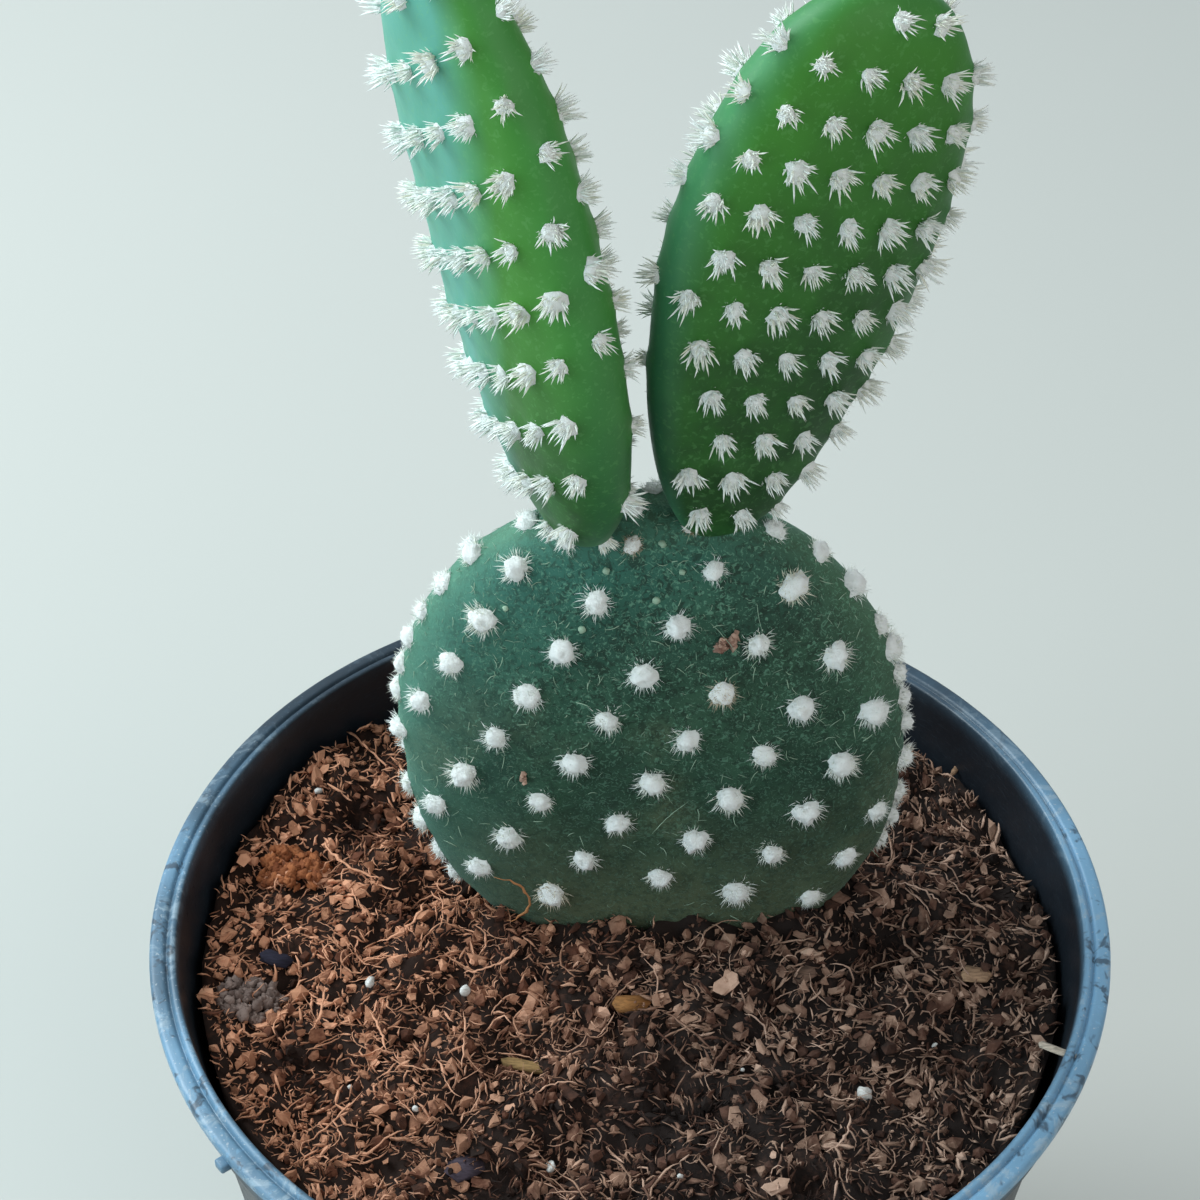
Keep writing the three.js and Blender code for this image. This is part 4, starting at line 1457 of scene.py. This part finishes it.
# Each layer of a tuft, long bristles and short: how many and how long they are as shares of the settings, how
# stout, in how many parts, the disc of their roots, how far the outermost lean out in radians, how much they
# crowd to the disc's edge, and how high their roots ride.
OLD_LAYERS = (
    {"share": 1.0, "length": 1.0, "radius": 0.025, "parts": 2, "disc": 1.2, "spread": 1.1, "crowd": 0.4,
     "rise": 0.8},
    {"share": 1.6, "length": 0.5, "radius": 0.06, "parts": 1, "disc": 1.3, "spread": 1.25, "crowd": 0.5,
     "rise": 1.2},
)
YOUNG_LAYERS = (
    {"share": 1.0, "length": 1.0, "radius": 0.047, "parts": 3, "disc": 0.82, "spread": 0.46, "crowd": 0.5,
     "rise": 0.3},
    {"share": 1.2, "length": 0.36, "radius": 0.09, "parts": 1, "disc": 0.95, "spread": 0.8, "crowd": 0.5,
     "rise": 0.55},
)
OLD_BENDS = (0.0, 0.5, 0.9)
YOUNG_BENDS = (0.0, 0.3, 0.5)
BRISTLE_SEED = 50


def burr_directions(draw, normal, count, spread, crowd):
    """Bristle roots in a disc of radius 1 and directions that lean out with the distance from its middle."""
    across = unit(np.cross(normal, np.array([0.31, 0.17, 0.93])))
    up = np.cross(normal, across)
    distance = draw.random(count) ** crowd
    heading = draw.uniform(0, TURN, count)
    outward = across * np.cos(heading)[:, None] + up * np.sin(heading)[:, None]
    tilt = spread * distance + draw.normal(0, 0.1, count)
    directions = normal * np.cos(tilt)[:, None] + outward * np.sin(tilt)[:, None]
    return outward * distance[:, None], directions, distance


class CACTUS_OT_tufts(bpy.types.Operator):
    """Set a woolly cushion and a burr of bristles on every areole"""

    bl_idname = "potted_cactus.tufts"
    bl_label = "Tufts"

    def execute(self, context):
        settings = context.scene.potted_cactus.tufts
        bristle = bristle_finish(settings, "tuft_bristles")
        wool = wool_finish(settings)
        for name, pad in PADS.items():
            self.wool(name, pad, wool)
            self.bristles(name, pad, settings, bristle)
        return {"FINISHED"}

    def wool(self, name, pad, finish):
        draw = np.random.default_rng(pad.seed)
        tufts = TUFTS[name]
        places, normals, shares = (np.array([tuft[part] for tuft in tufts]) for part in range(3))
        wide, high = WOOL_SIZE[name]
        sizes = np.stack([wide * shares, wide * shares, high * shares], axis=1)
        sizes *= draw.uniform(0.88, 1.14, (len(tufts), 3))
        swarm = Swarm()
        turns = facing(normals, draw.uniform(0, TURN, len(tufts)))
        shapes = [wool_shape(seed, WOOL_DETAIL[name]) for seed in range(4)]
        add_mixed(swarm, shapes, turns, sizes * MM, places * MM, self.ages(name, pad))
        new_piece(f"{name}_wool", swarm.mesh("wool"), finish)

    def ages(self, name, pad):
        """How aged each tuft is: a few on the old pad are tan or brown."""
        draw = random.Random(pad.seed)
        ages = np.array([draw.uniform(0, 0.1) for _ in TUFTS[name]])
        if name == "base_pad":
            places = np.array([tuft[0] for tuft in TUFTS[name]])
            seen = places[:, 1] < pad.foot[1] + pad.length * math.sin(math.radians(pad.back))
            for x, z, age in AGED_TUFTS:
                distance = np.hypot(places[:, 0] - x, places[:, 2] - z) + np.where(seen, 0, pad.length)
                ages[np.argmin(distance)] = age
        return ages

    def bristles(self, name, pad, settings, finish):
        draw = np.random.default_rng(pad.seed + BRISTLE_SEED)
        if name == "base_pad":
            length, count = settings.old_length, settings.old_count
            layers, bends = OLD_LAYERS, OLD_BENDS
        else:
            length, count = settings.young_length, settings.young_count
            layers, bends = YOUNG_LAYERS, YOUNG_BENDS
        swarm = Swarm()
        ages = self.ages(name, pad)
        for layer in layers:
            shapes = [bristle_shape(3, layer["parts"], layer["radius"], bend, 3.0) for bend in bends]
            number = round(count * layer["share"])
            for (place, normal, share, _, _), age in zip(TUFTS[name], ages):
                spread, crowd = layer["spread"], layer["crowd"]
                roots, directions, distance = burr_directions(draw, normal, number, spread, crowd)
                rise = layer["rise"] * np.sqrt(1 - np.minimum(distance, 1) ** 2)
                places = place + (roots * layer["disc"] + normal * (rise - 0.2)[:, None]) * share
                lengths = length * layer["length"] * share * draw.uniform(0.65, 1.15, number)
                tones = np.clip(age + draw.normal(0.04, 0.07, number) + 0.5 * age * draw.random(number), 0, 1)
                turns = facing(directions, draw.uniform(0, TURN, number))
                add_mixed(swarm, shapes, turns, lengths, places * MM, tones)
        new_piece(f"{name}_bristles", swarm.mesh("bristles"), finish)


DOWN_SEED = 77
DOWN_LENGTH = (0.3, 0.35)
HAIR_LENGTH = (0.8, 1.9)
HAIR_BENDS = (0.9, 1.5, 0.4)
# The middle and the spread of the tones of the down and of the hairs
DOWN_TONE = (0.3, 0.2)
HAIR_TONE = (0.9, 0.15)
HAIR_NEARNESS = 0.6
# Places that are tried for each hair that is laid
TRIES = 12


class CACTUS_OT_down(bpy.types.Operator):
    """Lay the fine pale down and the longer loose hairs on the old pad's skin"""

    bl_idname = "potted_cactus.down"
    bl_label = "Down"

    def execute(self, context):
        settings = context.scene.potted_cactus.tufts
        draw = np.random.default_rng(DOWN_SEED)
        swarm = Swarm()
        straight = [bristle_shape(3, 1, 0.075, 0.0)]
        curled = [bristle_shape(3, 3, 0.03, bend) for bend in HAIR_BENDS]
        self.lay(swarm, draw, settings.down, DOWN_LENGTH, straight, DOWN_TONE, 0.0)
        self.lay(swarm, draw, settings.hairs, HAIR_LENGTH, curled, HAIR_TONE, HAIR_NEARNESS)
        new_piece("base_pad_down", swarm.mesh("down"), down_finish(settings, "skin_down"))
        return {"FINISHED"}

    def lay(self, swarm, draw, count, length, shapes, tone, nearness):
        """Scatters hairs over the skin, thicker above, and with nearness above 0 mostly round the tufts."""
        pad = PADS["base_pad"]
        t = draw.uniform(0.12, 0.995, count * TRIES)
        angle = draw.uniform(-math.pi, math.pi, count * TRIES)
        girth = np.linalg.norm(pad.point(t, angle + 0.01) - pad.point(t, angle - 0.01), axis=1)
        likely = girth / girth.max() * (0.22 + 0.78 * np.clip((t - 0.3) / 0.4, 0, 1))
        places = pad.point(t, angle)
        tufts = np.array([tuft[0] for tuft in TUFTS["base_pad"]])
        nearest = np.min(np.linalg.norm(places[:, None, :] - tufts[None, :, :], axis=2), axis=1)
        likely *= 1 - nearness * np.clip((nearest - 2.0) / 1.6, 0, 1)
        keep = np.flatnonzero(draw.random(len(t)) < likely)[:count]
        t, angle, places = t[keep], angle[keep], places[keep]
        normals = pad.normal(t, angle)
        number = len(places)
        across = unit(np.cross(normals, draw.normal(size=(number, 3))))
        lift = draw.uniform(0.06, 0.4, number)[:, None]
        directions = across * np.cos(lift) + normals * np.sin(lift)
        lengths = lerp(length[0], length[1], draw.random(number) ** 2)
        tones = np.clip(draw.normal(tone[0], tone[1], number), 0, 1)
        turns = facing(directions, draw.uniform(0, TURN, number))
        add_mixed(swarm, shapes, turns, lengths * MM, places * MM, tones)


# Marks on the old pad, each as (share of the pad's length, angle): the ends of the loose hairs, the pale
# dots, and the middles of the withered scraps, which have a size as well
LOOSE_HAIRS = (
    ((0.843, 0.282), (0.765, 0.401)), ((0.863, 0.637), (0.785, 0.532)), ((0.47, 0.1), (0.42, -0.02)),
)
PALE_DOTS = ((0.957, 0.256), (0.912, 0.282), (0.867, -0.663), (0.871, 0.099), (0.83, -0.2), (0.925, -0.1))
SCRAPS = ((0.785, 0.385, 0.85), (0.776, 0.33, 0.7), (0.54, -0.47, 0.5), (0.79, 0.34, 0.5))
SCRAP_GRAINS = 7
DOT_SEED = 5
SCRAP_SEED = 6
CURL_PLACE = (-12.3, 2.4, 90.0)
CURL_LENGTH = 11.0
CURL_TURN = 2.7
CURL_ALONG = (0.9, -0.1, 0.35)
CURL_TOWARDS = (-0.35, -0.05, 0.9)


class CACTUS_OT_specks(bpy.types.Operator):
    """Add the loose hairs, pale dots, withered scraps and curled fibre that lie on the old pad"""

    bl_idname = "potted_cactus.specks"
    bl_label = "Specks"

    def execute(self, context):
        settings = context.scene.potted_cactus
        pad = PADS["base_pad"]
        self.hairs(pad, settings.tufts)
        self.dots(pad, settings.tufts)
        self.scraps(pad)
        self.curl()
        return {"FINISHED"}

    def hairs(self, pad, settings):
        swarm = Swarm()
        for number, ends in enumerate(LOOSE_HAIRS):
            t, angle = np.array(ends).T
            start, end = pad.point(t, angle) + 0.45 * pad.normal(t, angle)
            shape = strand_shape(3, 12, 0.011, 0.5, 60 + number)
            turn = turn_of(end - start, pad.normal(t, angle)[0])
            swarm.add_one(shape, turn, np.linalg.norm(end - start), (start + end) / 2, 0.8)
        new_piece("loose_hairs", swarm.mesh("hairs"), down_finish(settings, "loose_hairs"))

    def dots(self, pad, settings):
        draw = np.random.default_rng(DOT_SEED)
        t, angle = np.array(PALE_DOTS).T
        sizes = draw.uniform(0.3, 0.5, (len(t), 3))
        swarm = Swarm()
        turns = tumble(draw, len(t))
        tones = draw.uniform(0.6, 0.9, len(t))
        swarm.add(crumb_shape(2, 3, 0.4), turns, sizes * MM, pad.point(t, angle) * MM, tones)
        new_piece("pale_dots", swarm.mesh("dots"), down_finish(settings, "pale_dots"))

    def scraps(self, pad):
        draw = np.random.default_rng(SCRAP_SEED)
        swarm = Swarm()
        shape = crumb_shape(2, 5, 1.5)
        count = SCRAP_GRAINS
        for t, angle, size in SCRAPS:
            middle = pad.point(t, angle) + 0.35 * pad.normal(t, angle)
            places = middle + draw.normal(0, 0.35, (count, 3)) * size
            sizes = draw.uniform(0.25, 0.75, (count, 3)) * size
            swarm.add(shape, tumble(draw, count), sizes * MM, places * MM, draw.random(count))
        finish = Finish("withered_scraps", Specular_IOR_Level=0.25)
        tone = finish.attribute("tone") * 0.8 + 0.3 * finish.cloud(1500, 2)
        colour = finish.mix(tone, SCRAP_DARK, SCRAP_LIGHT)
        finish.surface(colour, 0.9, finish.cloud(3000, 2), 0.0002, 0.7)
        new_piece("withered_scraps", swarm.mesh("scraps"), finish.material)

    def curl(self):
        swarm = Swarm()
        shape = strand_shape(4, 18, 0.017, CURL_TURN, 71)
        swarm.add_one(shape, turn_of(CURL_ALONG, CURL_TOWARDS), CURL_LENGTH, CURL_PLACE)
        finish = Finish("curled_fibre", Specular_IOR_Level=0.3)
        colour = finish.mix(finish.cloud(700, 2), CURL_DARK, CURL_LIGHT)
        finish.surface(colour, 0.8, finish.cloud(2500, 2), 0.0001, 0.5)
        new_piece("curled_fibre", swarm.mesh("curl"), finish.material)


# Stage

def add_light(name, place, size, power, colour):
    """Adds a soft rectangular light that points at the plant's middle."""
    light = bpy.data.lights.new(name, "AREA")
    light.shape = "RECTANGLE"
    light.size, light.size_y = size
    light.energy = power
    light.color = colour
    lamp = bpy.data.objects.new(name, light)
    lamp.location = place
    lamp.rotation_euler = (Vector(LIGHT_AIM) - Vector(place)).to_track_quat("-Z", "Y").to_euler()
    bpy.context.scene.collection.objects.link(lamp)


def add_camera(lens):
    """Adds the camera at the photograph's viewing angle."""
    camera = bpy.data.objects.new("camera", bpy.data.cameras.new("camera"))
    camera.data.lens = lens
    camera.data.sensor_width = SENSOR_WIDTH
    camera.data.clip_start = CLIP_START * MM
    pitch, roll = math.radians(CAMERA_PITCH), math.radians(CAMERA_ROLL)
    forward = Vector((0, math.cos(pitch), -math.sin(pitch)))
    up = Vector((0, math.sin(pitch), math.cos(pitch)))
    right = Vector((1, 0, 0))
    rolled_right = right * math.cos(roll) + up * math.sin(roll)
    rolled_up = up * math.cos(roll) - right * math.sin(roll)
    axes = Matrix((rolled_right, rolled_up, -forward)).transposed().to_4x4()
    camera.matrix_world = Matrix.Translation(Vector(CAMERA_PLACE) * MM) @ axes
    bpy.context.scene.collection.objects.link(camera)
    bpy.context.scene.camera = camera


class CACTUS_OT_stage(bpy.types.Operator):
    """Lay a plain pale floor and set soft lights and the camera"""

    bl_idname = "potted_cactus.stage"
    bl_label = "Stage"

    def execute(self, context):
        settings = context.scene.potted_cactus.stage
        bm = bmesh.new()
        bmesh.ops.create_grid(bm, x_segments=1, y_segments=1, size=FLOOR_REACH)
        floor = bpy.data.objects.new("floor", mesh_of(bm, "floor"))
        floor.data.materials.append(floor_finish(settings))
        context.scene.collection.objects.link(floor)
        for light in LIGHTS:
            power = settings.key * light["share"]
            add_light(light["name"], light["place"], light["size"], power, light["colour"])
        world = bpy.data.worlds.new("studio")
        world.use_nodes = True
        background = world.node_tree.nodes["Background"]
        background.inputs["Color"].default_value = WORLD_COLOUR
        background.inputs["Strength"].default_value = WORLD_STRENGTH
        context.scene.world = world
        context.scene.view_settings.view_transform = "Standard"
        add_camera(settings.lens)
        return {"FINISHED"}


# Panel

class CACTUS_PT_panel(bpy.types.Panel):
    """Lists the steps and their settings"""

    bl_idname = "CACTUS_PT_panel"
    bl_label = "Potted Cactus"
    bl_space_type = "VIEW_3D"
    bl_region_type = "UI"
    bl_category = "Cactus"

    def draw(self, context):
        settings = context.scene.potted_cactus
        for operator in OPERATORS:
            self.layout.operator(operator.bl_idname)
        for group in (settings.pot, settings.soil, settings.pads, settings.tufts, settings.stage):
            box = self.layout.box()
            for name in group.bl_rna.properties.keys():
                if name not in ("rna_type", "name"):
                    box.prop(group, name)


GROUPS = (PotSettings, SoilSettings, PadSettings, TuftSettings, StageSettings, CactusSettings)
OPERATORS = (
    CACTUS_OT_pot, CACTUS_OT_soil, CACTUS_OT_litter, CACTUS_OT_finds, CACTUS_OT_pads, CACTUS_OT_tufts,
    CACTUS_OT_down, CACTUS_OT_specks, CACTUS_OT_stage,
)


def register():
    for group in (*GROUPS, *OPERATORS, CACTUS_PT_panel):
        bpy.utils.register_class(group)
    bpy.types.Scene.potted_cactus = bpy.props.PointerProperty(
        name="Potted cactus", description="Settings of the potted cactus", type=CactusSettings
    )


def unregister():
    del bpy.types.Scene.potted_cactus
    for group in reversed((*GROUPS, *OPERATORS, CACTUS_PT_panel)):
        bpy.utils.unregister_class(group)


def main():
    register()
    bpy.ops.potted_cactus.pot()
    bpy.ops.potted_cactus.soil()
    bpy.ops.potted_cactus.litter()
    bpy.ops.potted_cactus.finds()
    bpy.ops.potted_cactus.pads()
    bpy.ops.potted_cactus.tufts()
    bpy.ops.potted_cactus.down()
    bpy.ops.potted_cactus.specks()
    bpy.ops.potted_cactus.stage()


if __name__ == "__main__":
    main()
